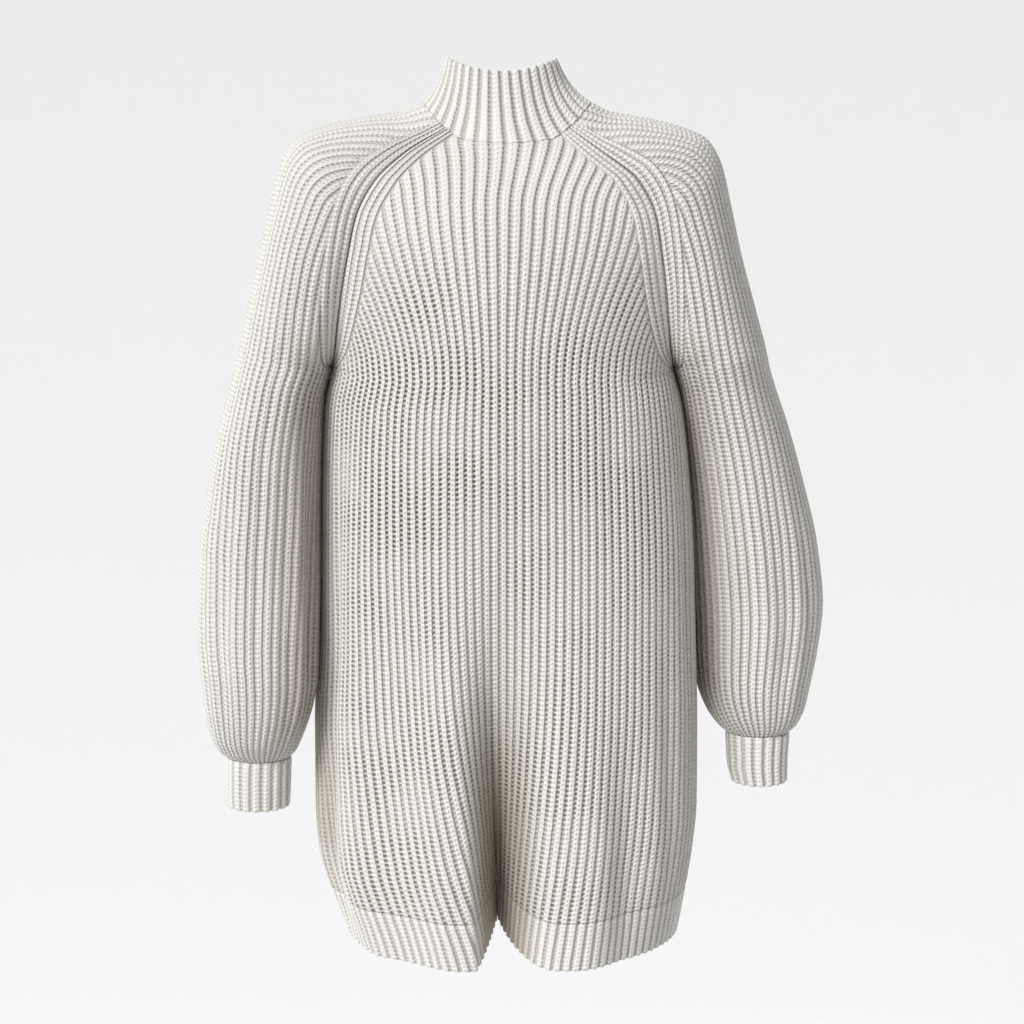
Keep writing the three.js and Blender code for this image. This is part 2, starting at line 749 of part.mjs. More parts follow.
// How far the first and the last row step back from their seams; a minus sign steps up the cloth
const seamStep = (z) => {
  if (z === HEM_SEAM) return -SEAM_GAP / 2;
  return z === NECK_ROW ? SEAM_GAP / 2 : 0;
};
// The columns that the plain inside keeps, closer together where the cloth bends most
const bodyInside = (face) => {
  const fine = face === "front" ? 26 : 10;
  return (k) => Math.abs(k) % 4 === 2 || (k % 2 === 0 && Math.abs(k) < fine);
};
const sleeveInside = (k) => k % 4 === 0 || (k % 2 === 0 && Math.abs(k) < 8);

const group = new THREE.Group();
group.name = "sweater_dress";
for (const face of ["front", "back"]) {
  const panelRows = [...LOWER_ROWS, ...CAP_ROWS].map((z) => bodyRow(face, z, seamStep(z)));
  group.add(wall(face + "_panel", panelRows, bodyInside(face), YARN));
  const hemRows = [bodyRow(face, HEM_EDGE, 0), bodyRow(face, HEM_SEAM, SEAM_GAP / 2)];
  group.add(wall("hem_" + face, hemRows, bodyInside(face), RIB_YARN));
}
for (const side of ["left", "right"]) {
  const rows = [...ARM_ROWS[side], ...CAP_ROWS].map((z) => sleeveRow(side, z, seamStep(z)));
  group.add(wall("sleeve_" + side, rows, sleeveInside, YARN));
  const { seam, edge } = CUFF[side];
  const cuffRows = [edge, edge + 15, seam - SEAM_GAP].map((z) => cuffRow(side, z));
  group.add(wall("cuff_" + side, cuffRows, (k) => k % 3 === 0, RIB_YARN));
}
const collarRows = [1, 0.86, 0.62, 0.3, 0].map((down) => collarRow(down, down === 1 ? SEAM_GAP : 0));
group.add(wall("collar", collarRows, (k) => k % 2 === 0, RIB_YARN));

export default group;
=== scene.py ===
import math

import bpy
import numpy as np
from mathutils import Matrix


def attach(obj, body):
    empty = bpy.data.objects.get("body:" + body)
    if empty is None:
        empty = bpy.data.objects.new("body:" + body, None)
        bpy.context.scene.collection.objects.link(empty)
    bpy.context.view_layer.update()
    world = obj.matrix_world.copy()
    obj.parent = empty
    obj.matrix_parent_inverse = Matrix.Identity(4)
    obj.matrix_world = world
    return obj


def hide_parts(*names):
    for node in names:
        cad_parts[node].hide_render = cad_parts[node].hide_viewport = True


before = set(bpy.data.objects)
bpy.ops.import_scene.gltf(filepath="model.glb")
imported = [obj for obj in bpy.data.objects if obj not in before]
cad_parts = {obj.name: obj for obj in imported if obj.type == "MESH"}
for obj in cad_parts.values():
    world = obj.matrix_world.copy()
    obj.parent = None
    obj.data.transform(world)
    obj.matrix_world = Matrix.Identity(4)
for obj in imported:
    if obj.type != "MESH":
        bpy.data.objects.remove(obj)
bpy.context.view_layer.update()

# The camera stands 2.3 m in front of the dress, level with its collar, and looks down 11.4 degrees at its
# middle.
lens = bpy.data.cameras.new("photo_camera")
lens.lens = 80
lens.sensor_width = 36
lens.clip_end = 30
camera = bpy.data.objects.new("photo_camera", lens)
camera.location = (0.011, -2.2308, 0.070)
camera.rotation_euler = (math.radians(90 - 11.44), 0, 0)
bpy.context.collection.objects.link(camera)
bpy.context.scene.camera = camera

# One broad studio light from the upper left, and an even pale fill from all round.
key = bpy.data.lights.new("key", "SUN")
key.energy = 2.8
key.angle = math.radians(26)
key.color = (0.99, 0.995, 1.0)
key_object = bpy.data.objects.new("key", key)
key_object.rotation_euler = (math.radians(55), 0, math.radians(-42))
bpy.context.collection.objects.link(key_object)
world = bpy.data.worlds.new("studio")
bpy.context.scene.world = world
world.use_nodes = True
world.node_tree.nodes["Background"].inputs["Color"].default_value = (1.0, 0.985, 0.96, 1)
world.node_tree.nodes["Background"].inputs["Strength"].default_value = 0.33
bpy.context.scene.view_settings.view_transform = "Standard"

# A pale floor well below the hanging dress curves up into a wall far behind it.
FLOOR_DROP = 2.6
bend = np.linspace(0, math.pi / 2, 24)
sweep = [(-5, 0.0)] + [(2.2 + 0.5 * math.sin(a), 0.5 - 0.5 * math.cos(a)) for a in bend] + [(2.7, 6.0)]
floor_points = [(x, y, z - FLOOR_DROP) for y, z in sweep for x in (-8.0, 8.0)]
floor_faces = [(2 * i, 2 * i + 1, 2 * i + 3, 2 * i + 2) for i in range(len(sweep) - 1)]
floor_mesh = bpy.data.meshes.new("floor")
floor_mesh.from_pydata(floor_points, [], floor_faces)
floor_mesh.shade_smooth()
floor = bpy.data.objects.new("floor", floor_mesh)
bpy.context.collection.objects.link(floor)
paper = bpy.data.materials.new("paper")
paper.use_nodes = True
paper.node_tree.nodes["Principled BSDF"].inputs["Base Color"].default_value = (0.83, 0.83, 0.835, 1)
paper.node_tree.nodes["Principled BSDF"].inputs["Roughness"].default_value = 1.0
paper.node_tree.nodes["Principled BSDF"].inputs["Specular IOR Level"].default_value = 0.0
floor_mesh.materials.append(paper)


# The yarn is a chunky off-white wool blend, knitted in a half-cardigan stitch. Plump ribs of V-shaped
# stitches stand between grooves that show a small gap at each tuck, half a course out of step with the
# next groove. The gaps are painted dark for the shade seen through them, and painted shade darkens the
# grooves and the hollows of the Vs too.
def formula(tree, operation, *values):
    """One Math node: operation(values)."""
    node = tree.nodes.new("ShaderNodeMath")
    node.operation = operation
    for socket, value in zip(node.inputs, values):
        if isinstance(value, (int, float)):
            socket.default_value = value
        else:
            tree.links.new(value, socket)
    return node.outputs[0]


def soft_step(tree, value, start, end):
    """0 at start, 1 at end, smooth between them."""
    node = tree.nodes.new("ShaderNodeMapRange")
    node.interpolation_type = "SMOOTHSTEP"
    tree.links.new(value, node.inputs["Value"])
    node.inputs["From Min"].default_value = start
    node.inputs["From Max"].default_value = end
    return node.outputs["Result"]


def stitch_group():
    """Stitches from rib and course numbers: Height, Gap (at a tuck), Groove and Heart (the hollow of a V).

    off = u - round(u) is the distance from a groove, in ribs. lag is the fractional part of v + parity / 2,
    less 0.5, in courses. A gap is the ellipse (off / 0.25)^2 + (lag / 0.42)^2 < 1, and a heart a smaller one
    in the middle of the rib. The legs of a V run along v - 0.9 |off|.
    """
    tree = bpy.data.node_groups.new("stitches", "ShaderNodeTree")
    tree.interface.new_socket("Place", in_out="INPUT", socket_type="NodeSocketVector")
    for name in ("Height", "Gap", "Groove", "Heart"):
        tree.interface.new_socket(name, in_out="OUTPUT", socket_type="NodeSocketFloat")
    start = tree.nodes.new("NodeGroupInput")
    end = tree.nodes.new("NodeGroupOutput")
    parts = tree.nodes.new("ShaderNodeSeparateXYZ")
    tree.links.new(start.outputs["Place"], parts.inputs[0])
    u, v = parts.outputs[0], parts.outputs[1]
    groove_number = formula(tree, "ROUND", u)
    off = formula(tree, "SUBTRACT", u, groove_number)
    side = formula(tree, "ABSOLUTE", off)
    parity = formula(tree, "FLOORED_MODULO", groove_number, 2.0)
    shifted = formula(tree, "MULTIPLY_ADD", parity, 0.5, v)
    lag = formula(tree, "SUBTRACT", formula(tree, "FRACT", shifted), 0.5)
    wide = formula(tree, "POWER", formula(tree, "DIVIDE", side, 0.25), 2.0)
    tall = formula(tree, "POWER", formula(tree, "ABSOLUTE", formula(tree, "DIVIDE", lag, 0.42)), 2.0)
    gap = soft_step(tree, formula(tree, "SQRT", formula(tree, "ADD", wide, tall)), 1.0, 0.4)
    from_middle = formula(tree, "SUBTRACT", 0.5, side)
    beat = formula(tree, "SUBTRACT", formula(tree, "FRACT", formula(tree, "ADD", v, 0.25)), 0.5)
    wide = formula(tree, "POWER", formula(tree, "DIVIDE", from_middle, 0.13), 2.0)
    tall = formula(tree, "POWER", formula(tree, "ABSOLUTE", formula(tree, "DIVIDE", beat, 0.34)), 2.0)
    heart = soft_step(tree, formula(tree, "SQRT", formula(tree, "ADD", wide, tall)), 1.0, 0.35)
    groove = soft_step(tree, side, 0.3, 0.0)
    slant = formula(tree, "MULTIPLY_ADD", side, -0.9, v)
    wave = formula(tree, "COSINE", formula(tree, "MULTIPLY", slant, math.tau))
    leg = formula(tree, "MULTIPLY_ADD", wave, 0.5, 0.5)
    middle = soft_step(tree, side, 0.43, 0.5)
    crest = soft_step(tree, side, 0.06, 0.3)
    plump = formula(tree, "MULTIPLY", formula(tree, "MULTIPLY_ADD", leg, 0.45, 0.55), crest)
    height = formula(tree, "SUBTRACT", plump, formula(tree, "MULTIPLY", gap, 0.55))
    height = formula(tree, "SUBTRACT", height, formula(tree, "MULTIPLY", middle, 0.12))
    height = formula(tree, "SUBTRACT", height, formula(tree, "MULTIPLY", heart, 0.25))
    for socket, value in (("Height", height), ("Gap", gap), ("Groove", groove), ("Heart", heart)):
        tree.links.new(value, end.inputs[socket])
    return tree


STITCHES = stitch_group()


def yarn(name, light, shade, dark, gap_strength, groove_strength, relief):
    """Wool with the stitch pattern: colours of the rib and of the painted shade in the groove and the gap,
    and the relief in metres.

    The cloth's attributes say how far its gaps are opened, and how much painted shade browns and darkens it
    in folds and behind the sleeves.
    """
    material = bpy.data.materials.new(name)
    material.use_nodes = True
    tree = material.node_tree
    surface = tree.nodes["Principled BSDF"]
    surface.inputs["Roughness"].default_value = 0.92
    surface.inputs["Specular IOR Level"].default_value = 0.18
    surface.inputs["Sheen Weight"].default_value = 0.22
    surface.inputs["Sheen Roughness"].default_value = 0.6
    surface.inputs["Sheen Tint"].default_value = (1.0, 0.98, 0.95, 1)
    place = tree.nodes.new("ShaderNodeUVMap")
    place.uv_map = "stitch"
    opened = tree.nodes.new("ShaderNodeAttribute")
    opened.attribute_name = "opened"
    space = tree.nodes.new("ShaderNodeTexCoord")
    wander = tree.nodes.new("ShaderNodeTexNoise")
    wander.inputs["Scale"].default_value = 90
    wander.inputs["Detail"].default_value = 2
    tree.links.new(space.outputs["Object"], wander.inputs["Vector"])
    drift = tree.nodes.new("ShaderNodeVectorMath")
    drift.operation = "MULTIPLY_ADD"
    tree.links.new(wander.outputs["Color"], drift.inputs[0])
    drift.inputs[1].default_value = (0.14, 0.3, 0)
    tree.links.new(place.outputs["UV"], drift.inputs[2])
    stitches = tree.nodes.new("ShaderNodeGroup")
    stitches.node_tree = STITCHES
    tree.links.new(drift.outputs[0], stitches.inputs["Place"])
    fibres = tree.nodes.new("ShaderNodeTexNoise")
    fibres.inputs["Scale"].default_value = 1400
    fibres.inputs["Detail"].default_value = 3
    tree.links.new(space.outputs["Object"], fibres.inputs["Vector"])
    patches = tree.nodes.new("ShaderNodeTexNoise")
    patches.inputs["Scale"].default_value = 14
    tree.links.new(space.outputs["Object"], patches.inputs["Vector"])

    def mix(first, second, amount):
        """first (1 - amount) + second amount."""
        node = tree.nodes.new("ShaderNodeMix")
        node.data_type = "RGBA"
        for socket, value in ((node.inputs[6], first), (node.inputs[7], second), (node.inputs[0], amount)):
            if isinstance(value, tuple):
                socket.default_value = (*value, 1)
            else:
                tree.links.new(value, socket)
        return node.outputs[2]

    # The gaps and the hollows of the Vs get painted shade, strongest where the cloth is stretched open.
    gap = formula(tree, "MULTIPLY", stitches.outputs["Gap"], opened.outputs["Fac"])
    gap = formula(tree, "MULTIPLY", gap, gap_strength)
    uneven = soft_step(tree, patches.outputs["Fac"], 0.36, 0.62)
    gap = formula(tree, "MULTIPLY", gap, formula(tree, "MULTIPLY_ADD", uneven, 0.5, 0.5))
    heart = formula(tree, "MULTIPLY", stitches.outputs["Heart"], opened.outputs["Fac"])
    heart = formula(tree, "MULTIPLY", heart, 0.45 * gap_strength)
    groove = formula(tree, "MULTIPLY", stitches.outputs["Groove"], groove_strength)
    painted_shade = tree.nodes.new("ShaderNodeAttribute")
    painted_shade.attribute_name = "painted_shade"
    # The tone varies at random in patches, and painted shade darkens the grooves, the gaps and the hollows.
    tone = mix(light, tuple(0.94 * c for c in light), patches.outputs["Fac"])
    tone = mix(tone, shade, groove)
    tone = mix(tone, dark, gap)
    tone = mix(tone, shade, heart)
    # Painted shade: a browned multiply, as strong as the attribute says, in the folds and behind the
    # sleeves.
    deep = tree.nodes.new("ShaderNodeMix")
    deep.data_type = "RGBA"
    deep.blend_type = "MULTIPLY"
    deep.inputs[7].default_value = (0.52, 0.46, 0.385, 1)
    tree.links.new(tone, deep.inputs[6])
    tree.links.new(painted_shade.outputs["Fac"], deep.inputs[0])
    tone = deep.outputs[2]
    tree.links.new(tone, surface.inputs["Base Color"])
    lift = formula(tree, "MULTIPLY_ADD", fibres.outputs["Fac"], 0.12, stitches.outputs["Height"])
    bump = tree.nodes.new("ShaderNodeBump")
    bump.inputs["Strength"].default_value = 1.0
    bump.inputs["Distance"].default_value = relief
    tree.links.new(lift, bump.inputs["Height"])
    tree.links.new(bump.outputs["Normal"], surface.inputs["Normal"])
    return material


IVORY = (0.86, 0.845, 0.81)
# Each yarn's second and third colours are painted shade: in its grooves and hollows, and in its gaps.
KNIT = yarn("knit", IVORY, (0.55, 0.49, 0.43), (0.15, 0.11, 0.085), 1.0, 0.4, 0.0016)
RIB = yarn("rib", (0.87, 0.86, 0.83), (0.46, 0.41, 0.35), (0.3, 0.25, 0.2), 0.5, 0.6, 0.0012)


# The body's form, in millimetres: an oversized cocoon as deep as a loose body, drawn in to the collar along
# the raglan seams. Folds hang down it from the chest, the deepest one in the middle of the front hem.
class Table:
    """A short table with named columns, read by its first one.

    Between rows it is a cubic Hermite curve. Its slope at a row is the harmonic mean of the slopes on both
    sides, or 0 where they differ in sign, so it never passes a row's value.
    """

    def __init__(self, names, rows):
        self.names = names.split()
        self.rows = np.array(rows, float)
        step = np.diff(self.rows, axis=0) / np.diff(self.rows[:, :1], axis=0)
        before, after = step[:-1], step[1:]
        total = np.where(before + after == 0, 1, before + after)
        inner = np.where(before * after > 0, 2 * before * after / total, 0)
        self.slopes = np.vstack([step[:1], inner, step[-1:]])

    def at(self, name, key):
        """The value of the named column at each key."""
        column = self.names.index(name)
        keys, value, slope = self.rows[:, 0], self.rows[:, column], self.slopes[:, column]
        place = np.clip(key, keys[0], keys[-1])
        i = np.clip(np.searchsorted(keys, place) - 1, 0, len(keys) - 2)
        span = keys[i + 1] - keys[i]
        t = (place - keys[i]) / span
        low = (1 + 2 * t) * (1 - t) ** 2 * value[i] + t * (1 - t) ** 2 * span * slope[i]
        return low + t * t * (3 - 2 * t) * value[i + 1] + t * t * (t - 1) * span * slope[i + 1]


def ease(start, end, value):
    """0 at start, 1 at end, 3t^2 - 2t^3 between them."""
    t = np.clip((value - start) / (end - start), 0, 1)
    return t * t * (3 - 2 * t)


WALL = 2.3
HEM_EDGE, HEM_SEAM, UNDERARM, NECK_ROW = -815, -768, -235, -15
BODY_RIBS, SLEEVE_RIBS, BAND_RIBS = 62, 44, 3
KNIT_COURSE, RIB_COURSE, COLLAR_COURSE = 4.85, 4.4, 4.6
NECK_X, NECK_HALF, NECK_FRONT, NECK_BACK, NECK_BEND = 6.5, 80, 75, 65, 60
RAGLAN_TURN = math.radians(47)
# BODY gives at each height the half width on each side, how far back that side lies, the depths in front and
# behind, the exponent of the section, the seam's distance from the middle plane, and the rise at the seam.
BODY = Table(
    "z right left rightBack leftBack front back round seam rise",
    [
        [-815, 157, 180, 0, 0, 129, 116, 0.94, 0, 0],
        [-791, 165.5, 184.5, 0, 0, 129, 118, 0.94, 0, 0],
        [-768, 174.5, 188.5, 1, -1, 129, 119, 0.94, 0, 0],
        [-726, 186, 194.5, 3, -2, 128, 119, 0.94, 0, 0],
        [-680, 188.7, 198, 6, -4, 126, 118, 0.94, 0, 0],
        [-600, 188.5, 197, 9, -8, 123, 115, 0.94, 0, 0],
        [-500, 182.5, 193.5, 10, -12, 121, 112, 0.94, 0, 0],
        [-400, 180.5, 189.5, 13, -12, 122, 111, 0.94, 0, 0],
        [-318, 177.5, 182.5, 13, -12, 125, 111, 0.94, 0, 0],
        [-268, 173.5, 176.5, 8, -7, 127, 111, 0.95, 0, 0],
        [-235, 165, 170, 0, 0, 127, 111, 0.96, 0, 0],
        [-228, 163.5, 168, 0, 0, 127, 111, 1.24, 24, 0],
        [-215, 160.5, 165, 0, 0, 127, 111, 1.59, 42, 0],
        [-190, 157, 162, 0, 0, 126, 110, 1.88, 56, 0],
        [-150, 150.5, 157.5, 0, 0, 124, 108, 2.1, 69, 0],
        [-115, 143.5, 152.5, 0, 0, 120, 105, 1.92, 76, 0],
        [-80, 135, 146, 0, 0, 112, 97, 1.72, 79, 0],
        [-50, 117, 129, -2, -2, 96, 83, 1.8, 76, 2],
        [-30, 88, 95, -3, -3, 82, 72, 2, 64, 8],
        [-15, 52, 65, -3.5, -3.5, 75, 65, 2, 47.5, 14],
    ],
)
# A fold has at each height its place round the body, its depth, and its reach on both sides, in degrees.
FOLD_COLUMNS = "z turn depth before after"
MIDDLE_FOLD = Table(
    FOLD_COLUMNS,
    [
        [-815, -5.2, 88, 4.2, 22],
        [-768, -4.9, 80, 4.8, 22],
        [-690, -3.8, 60, 7, 21],
        [-600, -2.8, 37, 11, 21],
        [-500, -1.5, 17, 15, 22],
        [-400, 0, 6, 18, 22],
        [-320, 1, 0, 18, 22],
    ],
)
FRONT_FOLDS = [
    MIDDLE_FOLD,
    Table(FOLD_COLUMNS, [[-815, -18, -4, 9, 12], [-650, -17, -5, 10, 12], [-430, -14, 0, 12, 12]]),
    Table(FOLD_COLUMNS, [[-815, -36, 3, 12, 13], [-600, -34, 5, 12, 13], [-360, -32, 0, 12, 12]]),
    Table(FOLD_COLUMNS, [[-815, -51, -3, 12, 11], [-560, -50, -5, 12, 12], [-270, -49, 0, 12, 12]]),
    Table(FOLD_COLUMNS, [[-815, -70, 1, 12, 12], [-730, -69, 8, 11, 11], [-600, -68, 0, 12, 12]]),
    Table(FOLD_COLUMNS, [[-815, 26, -9, 13, 17], [-680, 25, -6, 13, 16], [-450, 24, 0, 13, 14]]),
    Table(FOLD_COLUMNS, [[-815, 44, 0, 12, 14], [-720, 40, 5, 13, 14], [-560, 38, 0, 13, 14]]),
]
BACK_FOLDS = [
    Table(FOLD_COLUMNS, [[-815, -24, 15, 15, 17], [-650, -23, 9, 16, 18], [-430, -22, 0, 18, 18]]),
    Table(FOLD_COLUMNS, [[-815, 2, -6, 14, 14], [-560, 2, 0, 14, 14]]),
    Table(FOLD_COLUMNS, [[-815, 27, 19, 16, 15], [-660, 26, 11, 17, 17], [-400, 24, 0, 18, 18]]),
    Table(FOLD_COLUMNS, [[-815, 58, 7, 14, 13], [-600, 57, 0, 14, 14]]),
]
# Shallow creases on top of those, where the cloth hangs from the chest, shoulder blades and underarms
FRONT_CREASES = [
    Table(
        FOLD_COLUMNS,
        [[-760, -62, 0, 6, 7], [-560, -63, 2.6, 6, 7], [-330, -60, 1.6, 5, 6], [-250, -58, 0, 5, 6]],
    ),
    Table(FOLD_COLUMNS, [[-640, -28, 0, 5, 8], [-470, -27, 1.6, 5, 8], [-300, -24, 0, 5, 8]]),
    Table(FOLD_COLUMNS, [[-560, -42, 0, 5, 6], [-400, -43, -1.8, 5, 6], [-200, -47, 0, 5, 6]]),
    Table(FOLD_COLUMNS, [[-700, 15, 0, 6, 7], [-560, 14, 1.8, 6, 7], [-380, 12, 0, 6, 7]]),
    Table(FOLD_COLUMNS, [[-790, 60, 0, 7, 7], [-640, 57, 2.4, 7, 7], [-420, 55, 0, 7, 7]]),
    Table(FOLD_COLUMNS, [[-600, 73, 0, 6, 6], [-430, 71, 2.2, 6, 6], [-255, 69, 0, 6, 6]]),
    Table(FOLD_COLUMNS, [[-460, 34, 0, 6, 6], [-330, 35, 1.2, 6, 6], [-180, 37, 0, 6, 6]]),
]
BACK_CREASES = [
    Table(FOLD_COLUMNS, [[-700, -66, 0, 7, 7], [-480, -64, 2.4, 7, 7], [-260, -62, 0, 7, 7]]),
    Table(FOLD_COLUMNS, [[-600, -38, 0, 7, 7], [-400, -36, 1.8, 7, 7], [-220, -35, 0, 7, 7]]),
    Table(FOLD_COLUMNS, [[-560, 8, 0, 8, 8], [-380, 7, 1.6, 8, 8], [-240, 6, 0, 8, 8]]),
    Table(FOLD_COLUMNS, [[-720, 44, 0, 7, 8], [-500, 42, 2.2, 7, 8], [-280, 40, 0, 7, 8]]),
    Table(FOLD_COLUMNS, [[-640, 72, 0, 6, 6], [-430, 70, 2.4, 6, 6], [-260, 68, 0, 6, 6]]),
]
# Rib widths from the underarm up, which set how the ribs spread, and the width of the band beside the seam
BODY_PITCH = Table(
    "z rib",
    [
        [-235, 7.4],
        [-215, 7.5],
        [-190, 7.9],
        [-160, 8.7],
        [-130, 9.6],
        [-100, 10.4],
        [-60, 11.3],
        [-30, 12.9],
        [-15, 14],
    ],
)
BAND_WIDTH = Table("z width", [[-235, 22.5], [-150, 25], [-60, 24], [-30, 17], [-15, 12]])
HEM_RISE = 25
BASE_HEIGHT = Table("angle z", [[0, -15], [30, -12], [47, -1], [70, 15], [90, 21], [133, 18], [180, 15]])


def fold_depth(folds, turn, z):
    """Sum over the folds of depth (1 - ease(|turn - fold's turn| / reach))."""
    total = 0
    for fold in folds:
        off = turn - fold.at("turn", z)
        reach = np.where(off < 0, fold.at("before", z), fold.at("after", z))
        total = total + fold.at("depth", z) * (1 - ease(0, 1, np.abs(off) / reach))
    return total


def stack(x, y, z):
    """Points (x, y, z) from three arrays that fit each other."""
    return np.stack(np.broadcast_arrays(x, y, z), axis=-1).astype(float)


def base_point(angle):
    """The neck seam: an ellipse seen from above, 160 mm wide, that rises to the shoulders."""
    c = np.cos(angle)
    off = np.abs(np.degrees(angle))
    height = BASE_HEIGHT.at("z", np.where(off > 180, 360 - off, off))
    depth = np.where(c > 0, NECK_FRONT, NECK_BACK)
    return stack(NECK_X + NECK_HALF * np.sin(angle), -depth * c, height)


def base_facing(angle):
    """The wall's outward direction at the neck seam, 33 degrees up in front and 62 at the sides."""
    up = np.radians(33 + 29 * np.sin(angle) ** 2)
    c = np.cos(angle)
    x, y = np.sin(angle) / NECK_HALF, -c / np.where(c > 0, NECK_FRONT, NECK_BACK)
    flat = np.hypot(x, y)
    return stack(x / flat * np.cos(up), y / flat * np.cos(up), np.sin(up))


def plain_body(face, turn, z):
    """x = half sin(a), reach = seam + (depth - seam) cos(a)^round, a = 90 turn degrees, less the folds."""
    angle = turn * np.pi / 2
    half = np.where(turn < 0, BODY.at("right", z), BODY.at("left", z))
    seam = BODY.at("seam", z)
    reach = seam + (BODY.at(face, z) - seam) * np.maximum(np.cos(angle), 0) ** BODY.at("round", z)
    across = np.where(turn < 0, BODY.at("rightBack", z), BODY.at("leftBack", z)) * np.sin(angle) ** 2
    folds = FRONT_FOLDS + FRONT_CREASES if face == "front" else BACK_FOLDS + BACK_CREASES
    depth = fold_depth(folds, turn * 90, z)
    x = half * np.sin(angle)
    far = np.maximum(np.hypot(x, reach), 1e-6)
    rise = BODY.at("rise", z) * np.abs(turn) ** 2.5
    if face == "front":
        middle = fold_depth([MIDDLE_FOLD], turn * 90, z) / MIDDLE_FOLD.at("depth", HEM_EDGE)
        rise = rise + HEM_RISE * middle * ease(HEM_EDGE + 200, HEM_EDGE, z)
    way = -1 if face == "front" else 1
    return stack(x - x / far * depth, across + way * (reach - reach / far * depth), z + rise)


def body_point(face, turn, z):
    """plain_body, bent over its last 60 mm to end on the neck seam."""
    blend = ease(NECK_ROW - NECK_BEND, NECK_ROW, z)[..., None]
    angle = RAGLAN_TURN * turn if face == "front" else np.pi - RAGLAN_TURN * turn
    last = plain_body(face, turn, NECK_ROW + 0 * z)
    return plain_body(face, turn, z) + blend * (base_point(angle) - last)


def facing(point, turn, z, sign, low):
    """Outward direction of a surface: the cross product of its slopes along the row and up the cloth."""
    along = point(np.minimum(turn + 0.008, 1), z) - point(np.maximum(turn - 0.008, -1), z)
    v = np.clip(z, low + 1, NECK_ROW - 1)
    normal = np.cross(along, point(turn, v + 1) - point(turn, v - 1)) * sign
    return normal / np.linalg.norm(normal, axis=-1, keepdims=True)


def unit(vector):
    """vector / |vector|."""
    return vector / np.maximum(np.linalg.norm(vector, axis=-1, keepdims=True), 1e-9)


def turned(normal, other, weight):
    """Direction of normal (1 - weight) + other weight."""
    weight = weight[..., None]
    return unit(normal * (1 - weight) + other * weight)


def spread(point, z, k, last, pitch, band, sideways):
    """The turn of each column k, in half ribs, on each row z.

    Below the underarm the columns share a row's length evenly. Above it they spread as the rib widths in
    pitch do, by x on a panel and along the row on a sleeve, until they meet the band of three ribs that
    follows the raglan seam. Also the distance to the seam, and how much of a rib's height is left where it
    ends at the band.
    """
    samples = np.linspace(-1, 1, 481)
    centre = samples.size // 2
    line = point(samples[None, :], z[:, None])
    run = np.cumsum(np.linalg.norm(np.diff(line, axis=1), axis=2), axis=1)
    run = np.concatenate([np.zeros((len(z), 1)), run], axis=1)
    run -= run[:, centre : centre + 1]
    across = np.cumsum(np.abs(np.diff(line[..., 0], axis=1)), axis=1)
    across = np.concatenate([np.zeros((len(z), 1)), across], axis=1)
    across -= across[:, centre : centre + 1]
    whole = np.where(k[None, :] < 0, -run[:, :1], run[:, -1:])
    n = np.abs(k)[None, :]
    upper = (z > UNDERARM)[:, None]
    low = np.argmin(np.abs(z - UNDERARM))
    even = whole[low] / last if upper.any() else whole / last
    below = 2 * BAND_RIBS * even - band.at("width", UNDERARM)
    wide = band.at("width", z)[:, None] + below * (1 - ease(0, 40, z - UNDERARM))[:, None]
    width = np.where(upper, np.minimum(wide, 0.4 * whole), whole * 2 * BAND_RIBS / last)
    wider = (pitch.at("rib", z) / pitch.at("rib", UNDERARM))[:, None]
    free = np.where(upper, n * even * wider, n * whole / last)
    if sideways and upper.any():
        start = np.interp(np.sign(k) * (n * even)[0], run[low], across[low])
        rows = [np.abs(np.interp(start * wider[r, 0], across[r], run[r])) for r in range(len(z))]
        free = np.where(upper, np.array(rows), free)
    inside = whole - width
    in_band = n > last - 2 * BAND_RIBS
    length = np.where(in_band, whole - width * (last - n) / (2 * BAND_RIBS), np.minimum(free, inside))
    length = np.minimum(length, whole - 0.15)
    left = np.where(in_band | ~upper, 1, ease(0, 3, inside - length))
    turn = np.array([np.interp(np.sign(k) * length[r], run[r], samples) for r in range(len(z))])
    return turn, whole - length, left


def wale_courses(points, course=KNIT_COURSE):
    """Course number of each point: its distance up its own column, over the height of one course."""
    step = np.linalg.norm(np.diff(points, axis=0), axis=2)
    return np.concatenate([np.zeros((1, points.shape[1])), np.cumsum(step, axis=0)]) / course


def lips(point, normal, outer, up, count=4):
    """Rounded end of a wall: half a circle from its outer edge over its end towards its inner edge."""
    inner = point - normal * WALL
    middle = (outer + inner) / 2
    half = np.linalg.norm(outer - inner, axis=-1, keepdims=True) / 2
    turns = [math.pi * (i + 1) / (count + 1) for i in range(count)]
    return [middle + (outer - middle) * math.cos(a) + up * half * math.sin(a) for a in turns]


def strip(outer, inner):
    """Triangles between an outer edge and the inner edge, which has every fourth of its points."""
    a, b = inner[:-1], inner[1:]
    o = [outer[i::4][: len(a)] for i in range(4)] + [outer[4::4]]
    parts = [(o[1], o[0], a), (o[2], o[1], a), (o[2], a, b), (o[3], o[2], b), (o[4], o[3], b)]
    return np.concatenate([np.stack(p, axis=1) for p in parts])


def quads(ids):
    """The squares of a grid of point numbers."""
    return np.stack([ids[:-1, :-1], ids[:-1, 1:], ids[1:, 1:], ids[1:, :-1]], axis=-1).reshape(-1, 4)


